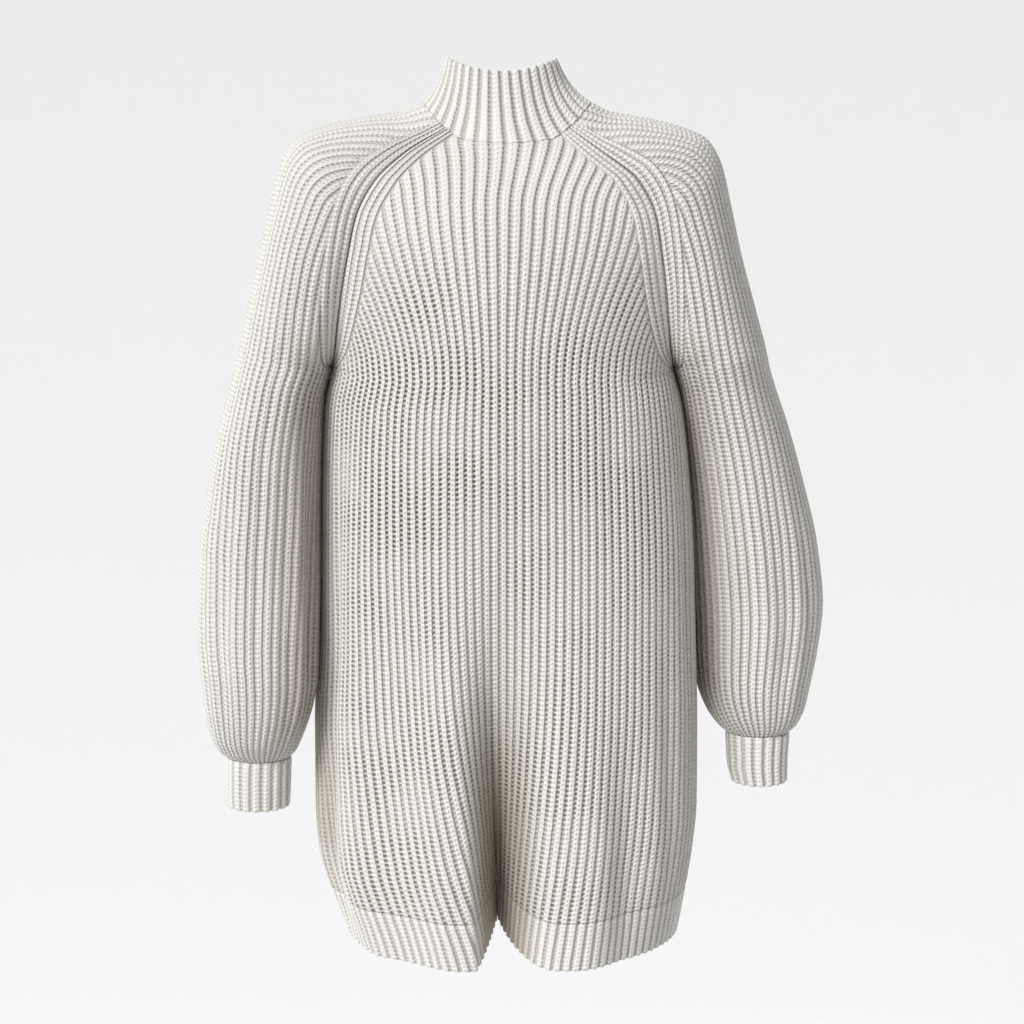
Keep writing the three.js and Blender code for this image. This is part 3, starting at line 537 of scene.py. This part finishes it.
def cloth(name, outer, inner, place, opened, painted_shade, sign, joined, lower=0, upper=0):
    """A closed wall as one object: outer skin, plain inner skin on every fourth row and column, and edges.

    place is the rib and course number of each point, for the stitches. joined marks the rows whose last
    column is the first one again. lower and upper are the numbers of lip rows.
    """
    rows, columns = outer.shape[:2]
    ids = np.arange(rows * columns).reshape(rows, columns)
    inner_ids = rows * columns + np.arange(inner.shape[0] * inner.shape[1]).reshape(inner.shape[:2])
    main = ids[lower : rows - upper]
    joined_inner = joined[lower : rows - upper][::4]
    faces = [quads(ids), quads(inner_ids)[:, ::-1]]
    edges = [strip(ids[0], inner_ids[0]), strip(ids[-1], inner_ids[-1])[:, ::-1]]
    first = int(np.argmin(joined_inner)) - 1 if joined_inner[0] and not joined_inner.all() else 0
    if not joined_inner.all():
        edges.append(strip(main[first * 4 :, 0], inner_ids[first:, 0])[:, ::-1])
        edges.append(strip(main[first * 4 :, -1], inner_ids[first:, -1]))
    same = np.arange(inner_ids[-1, -1] + 1)
    same[ids[joined, -1]] = ids[joined, 0]
    same[inner_ids[joined_inner, -1]] = inner_ids[joined_inner, 0]
    kept, number = np.unique(same, return_inverse=True)
    if sign < 0:
        faces = [f[:, ::-1] for f in faces]
        edges = [e[:, ::-1] for e in edges]
    corner_ids = np.concatenate([f.reshape(-1) for f in faces + edges])
    sizes = np.concatenate([np.full(len(f), f.shape[1]) for f in faces + edges])
    points = np.concatenate([outer.reshape(-1, 3), inner.reshape(-1, 3)])[kept] / 1000
    mesh = bpy.data.meshes.new(name)
    mesh.vertices.add(len(points))
    mesh.vertices.foreach_set("co", points.reshape(-1))
    mesh.loops.add(len(corner_ids))
    mesh.loops.foreach_set("vertex_index", number[corner_ids].astype(np.int32))
    mesh.polygons.add(len(sizes))
    mesh.polygons.foreach_set("loop_start", (np.cumsum(sizes) - sizes).astype(np.int32))
    mesh.update(calc_edges=True)
    both = np.concatenate([place.reshape(-1, 2), place[lower : rows - upper][::4, ::4].reshape(-1, 2)])
    layer = mesh.uv_layers.new(name="stitch")
    layer.data.foreach_set("uv", both[corner_ids].astype(np.float32).reshape(-1))
    # The inner skin gets its gaps a little open and a little painted shade all over.
    inside = np.full(inner_ids.size, 0.3)
    for label, value in (("opened", opened), ("painted_shade", painted_shade)):
        outside = np.broadcast_to(value, ids.shape).reshape(-1)
        whole = np.concatenate([outside, inside])[kept].astype(np.float32)
        mesh.attributes.new(label, "FLOAT", "POINT").data.foreach_set("value", whole)
    mesh.shade_smooth()
    piece = bpy.data.objects.new(name, mesh)
    bpy.context.collection.objects.link(piece)
    return piece


def seam_facing(face, side, z):
    """Outward direction along a raglan seam, shared by the panel and the sleeve."""
    sign = 1 if side == "left" else -1
    way = -1 if face == "front" else 1
    v = np.maximum(z, UNDERARM + 1.0)
    here = body_point(face, sign + 0 * v, v)
    above = body_point(face, sign + 0 * v, np.minimum(v + 1, NECK_ROW))
    along = unit(above - body_point(face, sign + 0 * v, v - 1))
    into_body = body_point(face, 0.97 * sign + 0 * v, v) - here
    into_sleeve = sleeve_point(side, 0.97 * way + 0 * v, v) - here
    into_body = unit(into_body - along * np.sum(into_body * along, axis=-1, keepdims=True))
    into_sleeve = unit(into_sleeve - along * np.sum(into_sleeve * along, axis=-1, keepdims=True))
    body = facing(lambda t, w: body_point(face, t, w), 0.99 * sign + 0 * v, v, -way, HEM_EDGE)
    sleeve = facing(lambda t, w: sleeve_point(side, t, w), 0.99 * way + 0 * v, v, sign, UNDERARM)
    return unit(body + sleeve + into_body + into_sleeve)


def corner_fade(points, side_sign, from_seam):
    """Ribs flatten within 45 mm of the underarm and in the crease above it."""
    half = np.where(side_sign < 0, BODY.at("right", UNDERARM), BODY.at("left", UNDERARM))
    corner = stack(side_sign * half, 0, UNDERARM)
    z = points[..., 2]
    crease = ease(-90, -170, z) * ease(-255, -235, z) * (1 - ease(2, 20, from_seam))
    return ease(6, 45, np.linalg.norm(points - corner, axis=-1)) * (1 - crease)


# The sleeves' form: raglan tops that run up to the collar, arms that hang just off the body, the right one
# forward and the left one back, and a full lower end that drops over the cuff.
# CAP, above the underarm, gives the outermost x, its height and half the depth. ARM, below it, gives the x
# next to the body and outermost, how far the outer side stands above the row, half the depth, and how far
# back it is.
CAP = {
    "right": Table(
        "z outer top depth",
        [
            [-235, 254.5, -212, 74],
            [-205, 245.5, -172, 79],
            [-165, 233.5, -122, 83],
            [-120, 221.5, -72, 85],
            [-90, 212, -38, 85],
            [-68, 196.5, -13.5, 82],
            [-50, 167, -1, 78],
            [-38, 133, 6.5, 71],
            [-26, 97, 11.5, 60],
            [-15, 73.5, 21, 47.6],
        ],
    ),
    "left": Table(
        "z outer top depth",
        [
            [-235, 258, -212, 74],
            [-205, 246.5, -172, 79],
            [-165, 232.5, -122, 83],
            [-120, 221, -72, 85],
            [-90, 212.5, -38, 85],
            [-68, 198, -14, 82],
            [-50, 170, -1.5, 78],
            [-38, 138, 6, 71],
            [-26, 106, 11.5, 60],
            [-15, 86.5, 21, 47.6],
        ],
    ),
}
ARM = {
    "right": Table(
        "z inner outer lift depth back",
        [
            [-676, 215.5, 275.5, 0, 24.5, -30],
            [-660, 214.5, 276, 0, 25.5, -30],
            [-626, 212.5, 275.5, 0, 25.5, -30],
            [-618, 207, 283.5, 0, 31, -31],
            [-600, 199.5, 289.5, -2, 41, -33],
            [-570, 189.5, 294.5, -2, 50, -35],
            [-540, 184.5, 297.5, 1, 55, -35],
            [-500, 183, 300.5, 6, 59.5, -30],
            [-430, 181, 297.5, 12, 64, -19],
            [-369, 180, 288, 16, 67, -15],
            [-318, 178.4, 277.5, 18, 70, -14],
            [-262, 174.2, 261.5, 21, 73, -8],
            [-235, 165, 254.5, 23, 74, 0],
        ],
    ),
    "left": Table(
        "z inner outer lift depth back",
        [
            [-661, 237, 291.5, 0, 24.5, 5],
            [-645, 233, 291.5, 0, 25, 5],
            [-610, 230, 293.5, 0, 25.5, 5],
            [-602, 222, 301, 0, 32, 7],
            [-585, 210.5, 308, -2, 42, 11],
            [-560, 201, 314.5, 0, 51, 16],
            [-530, 197, 321, 4, 56.5, 20],
            [-490, 194.5, 325, 8, 60.5, 20],
            [-430, 191.2, 317.5, 12, 64, 18],
            [-369, 188, 301.5, 16, 67, 16],
            [-318, 183.4, 286, 18, 70, 15],
            [-262, 177, 265.5, 21, 73, 8],
            [-235, 170, 258, 23, 74, 0],
        ],
    ),
}
SLEEVE_FOLDS = {
    "right": [
        Table(
            FOLD_COLUMNS,
            [[-626, 42, 0, 16, 14], [-560, 43, -4, 16, 13], [-400, 50, -6, 16, 13], [-280, 52, 0, 16, 14]],
        ),
        Table(FOLD_COLUMNS, [[-626, 22, 0, 14, 16], [-480, 26, 4, 14, 16], [-290, 28, 0, 14, 16]]),
        Table(FOLD_COLUMNS, [[-626, 128, 0, 16, 20], [-520, 124, 5, 16, 20], [-330, 118, 0, 16, 20]]),
        Table(FOLD_COLUMNS, [[-626, 250, 0, 20, 20], [-500, 248, 6, 20, 20], [-330, 246, 0, 20, 20]]),
        Table(
            FOLD_COLUMNS,
            [[-600, 84, 0, 10, 10], [-480, 86, 2.4, 10, 10], [-250, 92, 1.6, 10, 10], [-150, 94, 0, 10, 10]],
        ),
        Table(FOLD_COLUMNS, [[-600, 148, 0, 10, 12], [-540, 146, 2.2, 10, 12], [-400, 144, 0, 10, 12]]),
        Table(FOLD_COLUMNS, [[-590, 205, 0, 10, 12], [-500, 203, 2.4, 10, 12], [-300, 200, 0, 10, 12]]),
        Table(FOLD_COLUMNS, [[-600, 290, 0, 12, 12], [-470, 288, 2.6, 12, 12], [-280, 284, 0, 12, 12]]),
    ],
    "left": [
        Table(FOLD_COLUMNS, [[-610, 60, 0, 18, 18], [-540, 60, -4, 18, 18], [-320, 62, 0, 18, 18]]),
        Table(FOLD_COLUMNS, [[-610, 115, 0, 18, 22], [-500, 112, 4, 18, 22], [-330, 108, 0, 18, 22]]),
        Table(FOLD_COLUMNS, [[-610, 240, 0, 20, 22], [-520, 244, 6, 20, 22], [-340, 248, 0, 20, 22]]),
        Table(FOLD_COLUMNS, [[-590, 84, 0, 9, 10], [-460, 82, 2.2, 9, 10], [-280, 80, 0, 9, 10]]),
        Table(FOLD_COLUMNS, [[-590, 140, 0, 9, 10], [-500, 138, 2.4, 9, 10], [-350, 136, 0, 9, 10]]),
        Table(FOLD_COLUMNS, [[-590, 196, 0, 10, 12], [-510, 194, 2, 10, 12], [-330, 190, 0, 10, 12]]),
        Table(FOLD_COLUMNS, [[-590, 300, 0, 12, 12], [-450, 296, 2.6, 12, 12], [-270, 292, 0, 12, 12]]),
    ],
}
CUFF_SEAM = {"right": -626, "left": -610}
CUFF_EDGE = {"right": -676, "left": -661}
SLEEVE_PITCH = Table("z rib", [[-235, 8.6], [-165, 8.6], [-100, 9], [-60, 9.8], [-30, 12], [-15, 14]])


def plain_sleeve(side, turn, z):
    """Each row is part of an ellipse from the front seam over the outermost point to the back seam."""
    sign = 1 if side == "left" else -1
    cap = z > UNDERARM
    arm, top_table = ARM[side], CAP[side]
    inner = np.where(cap, BODY.at(side, z), arm.at("inner", z))
    low = z + np.where(cap, BODY.at("rise", z), 0)
    outer = np.where(cap, top_table.at("outer", z), arm.at("outer", z))
    top = np.where(cap, top_table.at("top", z), z + arm.at("lift", z))
    deep = np.where(cap, top_table.at("depth", z), arm.at("depth", z))
    across = np.where(cap, BODY.at(side + "Back", z), arm.at("back", z))
    start = np.where(cap, np.arcsin(np.clip(BODY.at("seam", z) / deep, 0, 1)), 0)
    long = np.hypot(outer - inner, top - low)
    half = long / (1 + np.cos(start))
    angle = np.pi + turn * (np.pi - start)
    fold = fold_depth(SLEEVE_FOLDS[side], np.degrees(angle), z)
    along = half * (np.cos(start) - np.cos(angle)) + fold * np.cos(angle)
    x = sign * (inner + (outer - inner) / long * along)
    return stack(x, across - (deep - fold) * np.sin(angle), low + (top - low) / long * along)


def sleeve_point(side, turn, z):
    """plain_sleeve, bent over its last 60 mm to end on the neck seam."""
    sign = 1 if side == "left" else -1
    blend = ease(NECK_ROW - NECK_BEND, NECK_ROW, z)[..., None]
    angle = sign * (np.pi / 2 + (np.pi / 2 - RAGLAN_TURN) * turn)
    last = plain_sleeve(side, turn, NECK_ROW + 0 * z)
    return plain_sleeve(side, turn, z) + blend * (base_point(angle) - last)


# The front panel is knitted in one piece, 62 ribs wide at the hem. Its ribs widen towards the collar and
# end one by one at the three ribs that run along each raglan seam, where it is linked to the sleeves.
def upper_rows(count):
    """Row heights from the underarm to the neck seam, closer together towards the neck."""
    t = np.linspace(0, 1, count)
    return UNDERARM + (NECK_ROW - UNDERARM) * (1 - (1 - t) ** 1.35)


RIB_HEIGHT = 1.9


def body_skin(face, z, k):
    """A face's grid: points, outward directions, the rib relief, distances to the seam and turns."""
    turn, from_seam, left = spread(
        lambda t, w: body_point(face, t, w), z, k, BODY_RIBS, BODY_PITCH, BAND_WIDTH, True
    )
    zz = z[:, None] + 0 * turn
    points = body_point(face, turn, zz)
    way = -1 if face == "front" else 1
    normal = facing(lambda t, w: body_point(face, t, w), turn, zz, -way, HEM_EDGE)
    for side in ("right", "left"):
        shared = seam_facing(face, side, z)[:, None, :]
        here = (turn > 0 if side == "left" else turn < 0) & (zz > UNDERARM)
        normal = turned(normal, shared, np.where(here, ease(6, 0, from_seam), 0))
    ring = RAGLAN_TURN * turn if face == "front" else np.pi - RAGLAN_TURN * turn
    normal = turned(normal, base_facing(ring), ease(NECK_ROW - 10, NECK_ROW, zz))
    crest = 0.5 - 0.5 * np.cos(np.pi * k)[None, :]
    relief = RIB_HEIGHT * crest * left * corner_fade(points, np.sign(turn), from_seam)
    return points, normal, relief, from_seam, turn


def underarm_fill(z, from_seam):
    """Body and sleeve press together just under the underarm: both walls are up to 0.7 mm fuller there."""
    return 0.7 * np.exp(-(((z + 251) / 11) ** 2)) * ease(16, 2, from_seam)


def seam_dip(distance, depth=0.9, reach=4.0):
    """Cloth sinks by depth at a seam, over reach."""
    return -depth * (1 - ease(0, reach, distance))


HALF_RIBS = np.arange(-BODY_RIBS, BODY_RIBS + 0.25, 0.5)


def body_panel(name, face):
    """One panel from the hem seam to the neck seam, on 4 columns a rib and rows of half a course."""
    z = np.concatenate([np.linspace(HEM_SEAM + 0.15, UNDERARM, 221), upper_rows(101)[1:]])
    points, normal, relief, from_seam, turn = body_skin(face, z, HALF_RIBS)
    zz = z[:, None] + 0 * turn
    relief = relief + seam_dip(zz - HEM_SEAM, 0.4, 4)
    relief = relief + np.where(zz > UNDERARM, seam_dip(from_seam, 0.5, 3), underarm_fill(zz, from_seam))
    outer = points + normal * relief[..., None]
    inner = (points - normal * WALL)[::4, ::4]
    place = np.stack([HALF_RIBS[None, :] / 2 + 0 * turn, wale_courses(points)], axis=-1)
    # The gaps open most over the chest and waist, and less near the collar, at the sides and at the hem,
    # and their painted shade shows as far as they open.
    opened = (0.25 + 0.75 * ease(-90, -190, zz)) * (1 - 0.5 * ease(0.5, 0.85, np.abs(turn)))
    opened = opened * (1.1 - 0.25 * ease(-330, -520, zz))
    # Painted shade browns the sides behind the sleeves, the middle fold, and the cloth that turns back low
    # down on the right, where little light reaches.
    painted_shade = 0.45 * ease(0.68, 0.95, np.abs(turn)) * ease(UNDERARM + 60, UNDERARM - 60, zz)
    if face == "front":
        shade = ease(2, 34, fold_depth([MIDDLE_FOLD], turn * 90, zz)) * (0.35 + 0.6 * ease(-520, -700, zz))
        painted_shade = np.maximum(painted_shade, shade)
        turned_back = ease(-0.58, -0.78, turn) * ease(-480, -640, zz) * ease(HEM_SEAM, HEM_SEAM + 70, zz)
        painted_shade = np.maximum(painted_shade, 0.6 * turned_back)
    sign = 1 if face == "front" else -1
    piece = cloth(name, outer, inner, place, opened, painted_shade, sign, np.zeros(len(z), bool))
    piece.data.materials.append(KNIT)
    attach(piece, "root")
    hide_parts(name)


body_panel("front_panel", "front")

# The back panel has the same cut and number of ribs. It is linked to the front at the side seams, and its
# folds are softer and hang from the shoulder blades.
body_panel("back_panel", "back")


# The hem is a 47 mm band of firmer rib, half on the front and half on the back. It is knitted on below the
# panels, draws them in a little and follows their folds.
def hem_band(name, face):
    """A strip of rib knitted on below the panel, with a rounded lower edge."""
    z = np.linspace(HEM_EDGE, HEM_SEAM - 0.15, 25)
    points, normal, relief, _, turn = body_skin(face, z, HALF_RIBS)
    zz = z[:, None] + 0 * turn
    relief = relief * 1.1 + 0.5 * (1 - ease(0, 1, (zz - HEM_EDGE) / 47)) + seam_dip(HEM_SEAM - zz, 0.8, 4)
    outer = points + normal * relief[..., None]
    lip = lips(points[0], normal[0], outer[0], unit(points[0] - points[1]))
    inner = (points - normal * WALL)[::4, ::4]
    courses = wale_courses(points, RIB_COURSE)
    outer = np.concatenate([np.array(lip[::-1]), outer])
    courses = np.concatenate([np.repeat(courses[:1], len(lip), axis=0), courses])
    place = np.stack([HALF_RIBS[None, :] / 2 + 0 * courses, courses], axis=-1)
    sign = 1 if face == "front" else -1
    joined = np.zeros(len(outer), bool)
    # Painted shade browns the front hem in the middle fold.
    painted_shade = np.zeros_like(zz)
    if face == "front":
        painted_shade = 0.95 * ease(2, 34, fold_depth([MIDDLE_FOLD], turn * 90, zz))
    painted_shade = np.concatenate([np.repeat(painted_shade[:1], len(lip), axis=0), painted_shade])
    piece = cloth(name, outer, inner, place, 0.5, painted_shade, sign, joined, lower=len(lip))
    piece.data.materials.append(RIB)
    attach(piece, "root")
    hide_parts(name)


hem_band("hem_front", "front")
hem_band("hem_back", "back")


# The right sleeve is knitted flat and joined under the arm, 44 ribs round. It hangs beside the body and a
# little forward.
CUFF_HALF_WIDTH, CUFF_HALF_DEPTH = 32, 25.5


def level_facing(sign, angle):
    """Level outward direction round the end of a sleeve, taken as an ellipse."""
    return unit(stack(-sign * np.cos(angle) / CUFF_HALF_WIDTH, -np.sin(angle) / CUFF_HALF_DEPTH, 0))


def sleeve(name, side, flat, area):
    """A sleeve from the cuff seam to the neck seam: a tube up to the underarm, and open from there up."""
    k = np.arange(-SLEEVE_RIBS, SLEEVE_RIBS + 0.25, 0.5)
    seam = CUFF_SEAM[side]
    z = np.concatenate([np.linspace(seam + 0.15, UNDERARM, 157), upper_rows(117)[1:]])
    sign = 1 if side == "left" else -1
    turn, from_seam, left = spread(
        lambda t, w: sleeve_point(side, t, w), z, k, SLEEVE_RIBS, SLEEVE_PITCH, BAND_WIDTH, False
    )
    zz = z[:, None] + 0 * turn
    closed = z <= UNDERARM
    turn[closed, 0], turn[closed, -1] = -1, 1
    points = sleeve_point(side, turn, zz)
    normal = facing(lambda t, w: sleeve_point(side, t, w), turn, zz, sign, seam)
    for face, way in (("front", -1), ("back", 1)):
        shared = seam_facing(face, side, z)[:, None, :]
        here = (turn * way > 0) & (zz > UNDERARM)
        normal = turned(normal, shared, np.where(here, ease(6, 0, from_seam), 0))
    ring = sign * (np.pi / 2 + (np.pi / 2 - RAGLAN_TURN) * turn)
    normal = turned(normal, base_facing(ring), ease(NECK_ROW - 10, NECK_ROW, zz))
    angle = np.pi * (1 + turn)
    normal = turned(normal, level_facing(sign, angle), ease(seam + 6, seam, zz))
    normal[closed, -1] = normal[closed, 0] = unit(normal[closed, -1] + normal[closed, 0])
    crest = 0.5 - 0.5 * np.cos(np.pi * k)[None, :]
    relief = RIB_HEIGHT * crest * left * corner_fade(points, sign + 0 * turn, from_seam)
    relief = relief * (0.6 + 0.4 * ease(seam, seam + 30, zz)) + seam_dip(zz - seam, 0.6, 3)
    relief = relief + np.where(zz > UNDERARM, seam_dip(from_seam, 0.5, 3), underarm_fill(zz, from_seam))
    outer = points + normal * relief[..., None]
    inner = (points - normal * WALL)[::4, ::4]
    place = np.stack([k[None, :] / 2 + 0 * turn, wale_courses(points)], axis=-1)
    # The gaps vary a little round and along the sleeve, and painted shade browns the side against the body.
    opened = 0.45 + 0.15 * np.cos(3 * turn + zz / 60)
    painted_shade = 0.7 * ease(0.1, 0.9, np.cos(angle))
    painted_shade = painted_shade * ease(UNDERARM + 50, UNDERARM - 40, zz) * ease(seam, seam + 60, zz)
    piece = cloth(name, outer, inner, place, opened, painted_shade, sign, closed)
    piece.data.materials.append(KNIT)
    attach(piece, "root")
    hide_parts(name)


sleeve("sleeve_right", "right", (0.41, 0.72), 0.23)

# The left sleeve has the same cut. It hangs further out and a little back, and is fullest above its cuff,
# which gathers it.
sleeve("sleeve_left", "left", (0.41, 0.71), 0.23)


# The cuffs are short tubes of firm rib, knitted in one with a rounded edge. They hold the full ends of the
# sleeves in.
CUFF_RIBS = 18


def cuff(name, side):
    """A ribbed tube with a rounded edge, with 8 columns to a rib."""
    k = np.arange(-CUFF_RIBS, CUFF_RIBS + 0.1, 0.25)
    z = np.linspace(CUFF_EDGE[side], CUFF_SEAM[side] - 0.3, 25)
    sign = 1 if side == "left" else -1
    turn = k[None, :] / CUFF_RIBS + 0 * z[:, None]
    zz = z[:, None] + 0 * turn
    points = sleeve_point(side, turn, zz)
    normal = level_facing(sign, np.pi * (1 + turn))
    crest = (0.5 - 0.5 * np.cos(np.pi * k)[None, :]) ** 0.7
    relief = RIB_HEIGHT * crest * (0.4 + 0.6 * ease(CUFF_SEAM[side], CUFF_SEAM[side] - 6, zz))
    outer = points + normal * relief[..., None]
    lip = lips(points[0], normal[0], outer[0], np.array([0, 0, -1.0]))
    inner = (points - normal * WALL)[::4, ::4]
    courses = wale_courses(points, RIB_COURSE)
    outer = np.concatenate([np.array(lip[::-1]), outer])
    courses = np.concatenate([np.repeat(courses[:1], len(lip), axis=0), courses])
    place = np.stack([k[None, :] / 2 + 0 * courses, courses], axis=-1)
    joined = np.ones(len(outer), bool)
    piece = cloth(name, outer, inner, place, 0.3, 0.0, sign, joined, lower=len(lip))
    piece.data.materials.append(RIB)
    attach(piece, "root")
    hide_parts(name)


cuff("cuff_right", "right")
cuff("cuff_left", "left")


# The collar is a funnel of 34 ribs in a single layer, linked to both panels and both sleeves. It stands
# round the neck, dips in front, and flares on to the shoulders.
def collar_point(turn, down):
    """From the rim (down 0) to the neck seam (1): it stands up, then flares by 0.55 down + 0.45 down^3."""
    angle = np.pi * turn
    c = np.cos(angle)
    rim = stack(1 + 52 * np.sin(angle), -49 * c, 62 + (np.where(c > 0, 50.5, 48.7) - 62) * c * c)
    base = base_point(angle)
    flare = 0.55 * down + 0.45 * down**3
    return rim + (base - rim) * stack(flare, flare, down)


COLLAR_RIBS, COLLAR_RIB_HEIGHT = 34, 2.0
k = np.arange(-COLLAR_RIBS, COLLAR_RIBS + 0.1, 0.25)
down = np.linspace(0.996, 0, 53)
samples = np.linspace(-1, 1, 721)
steps = np.diff(collar_point(samples[None, :], down[:, None]), axis=1)
run = np.cumsum(np.linalg.norm(steps, axis=2), axis=1)
run = np.concatenate([np.zeros((len(down), 1)), run], axis=1)
turn = np.array([np.interp((k + COLLAR_RIBS) / (2 * COLLAR_RIBS) * r[-1], r, samples) for r in run])
dd = down[:, None] + 0 * turn
points = collar_point(turn, dd)
edge = np.clip(dd, 0.02, 0.98)
normal = np.cross(
    collar_point(turn + 0.008, edge) - collar_point(turn - 0.008, edge),
    collar_point(turn, edge - 0.02) - collar_point(turn, edge + 0.02),
)
normal = unit(normal)
angle = np.pi * turn
level = unit(stack(np.sin(angle), -np.cos(angle), 0))
normal = turned(normal, level, ease(0.12, 0, dd))
normal = turned(normal, base_facing(angle), ease(0.85, 1, dd))
crest = (0.5 - 0.5 * np.cos(np.pi * k)[None, :]) ** 0.6
relief = COLLAR_RIB_HEIGHT * crest
outer = points + normal * relief[..., None]
lip = lips(points[-1], normal[-1], outer[-1], np.array([0, 0, 1.0]))
inner = (points - normal * WALL)[::4, ::4]
courses = wale_courses(points, COLLAR_COURSE)
outer = np.concatenate([outer, np.array(lip)])
courses = np.concatenate([courses, np.repeat(courses[-1:], len(lip), axis=0)])
place = np.stack([k[None, :] / 2 + 0 * courses, courses], axis=-1)
joined = np.ones(len(outer), bool)
collar = cloth("collar", outer, inner, place, 0.25, 0.0, 1, joined, upper=len(lip))
collar.data.materials.append(RIB)
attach(collar, "root")
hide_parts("collar")
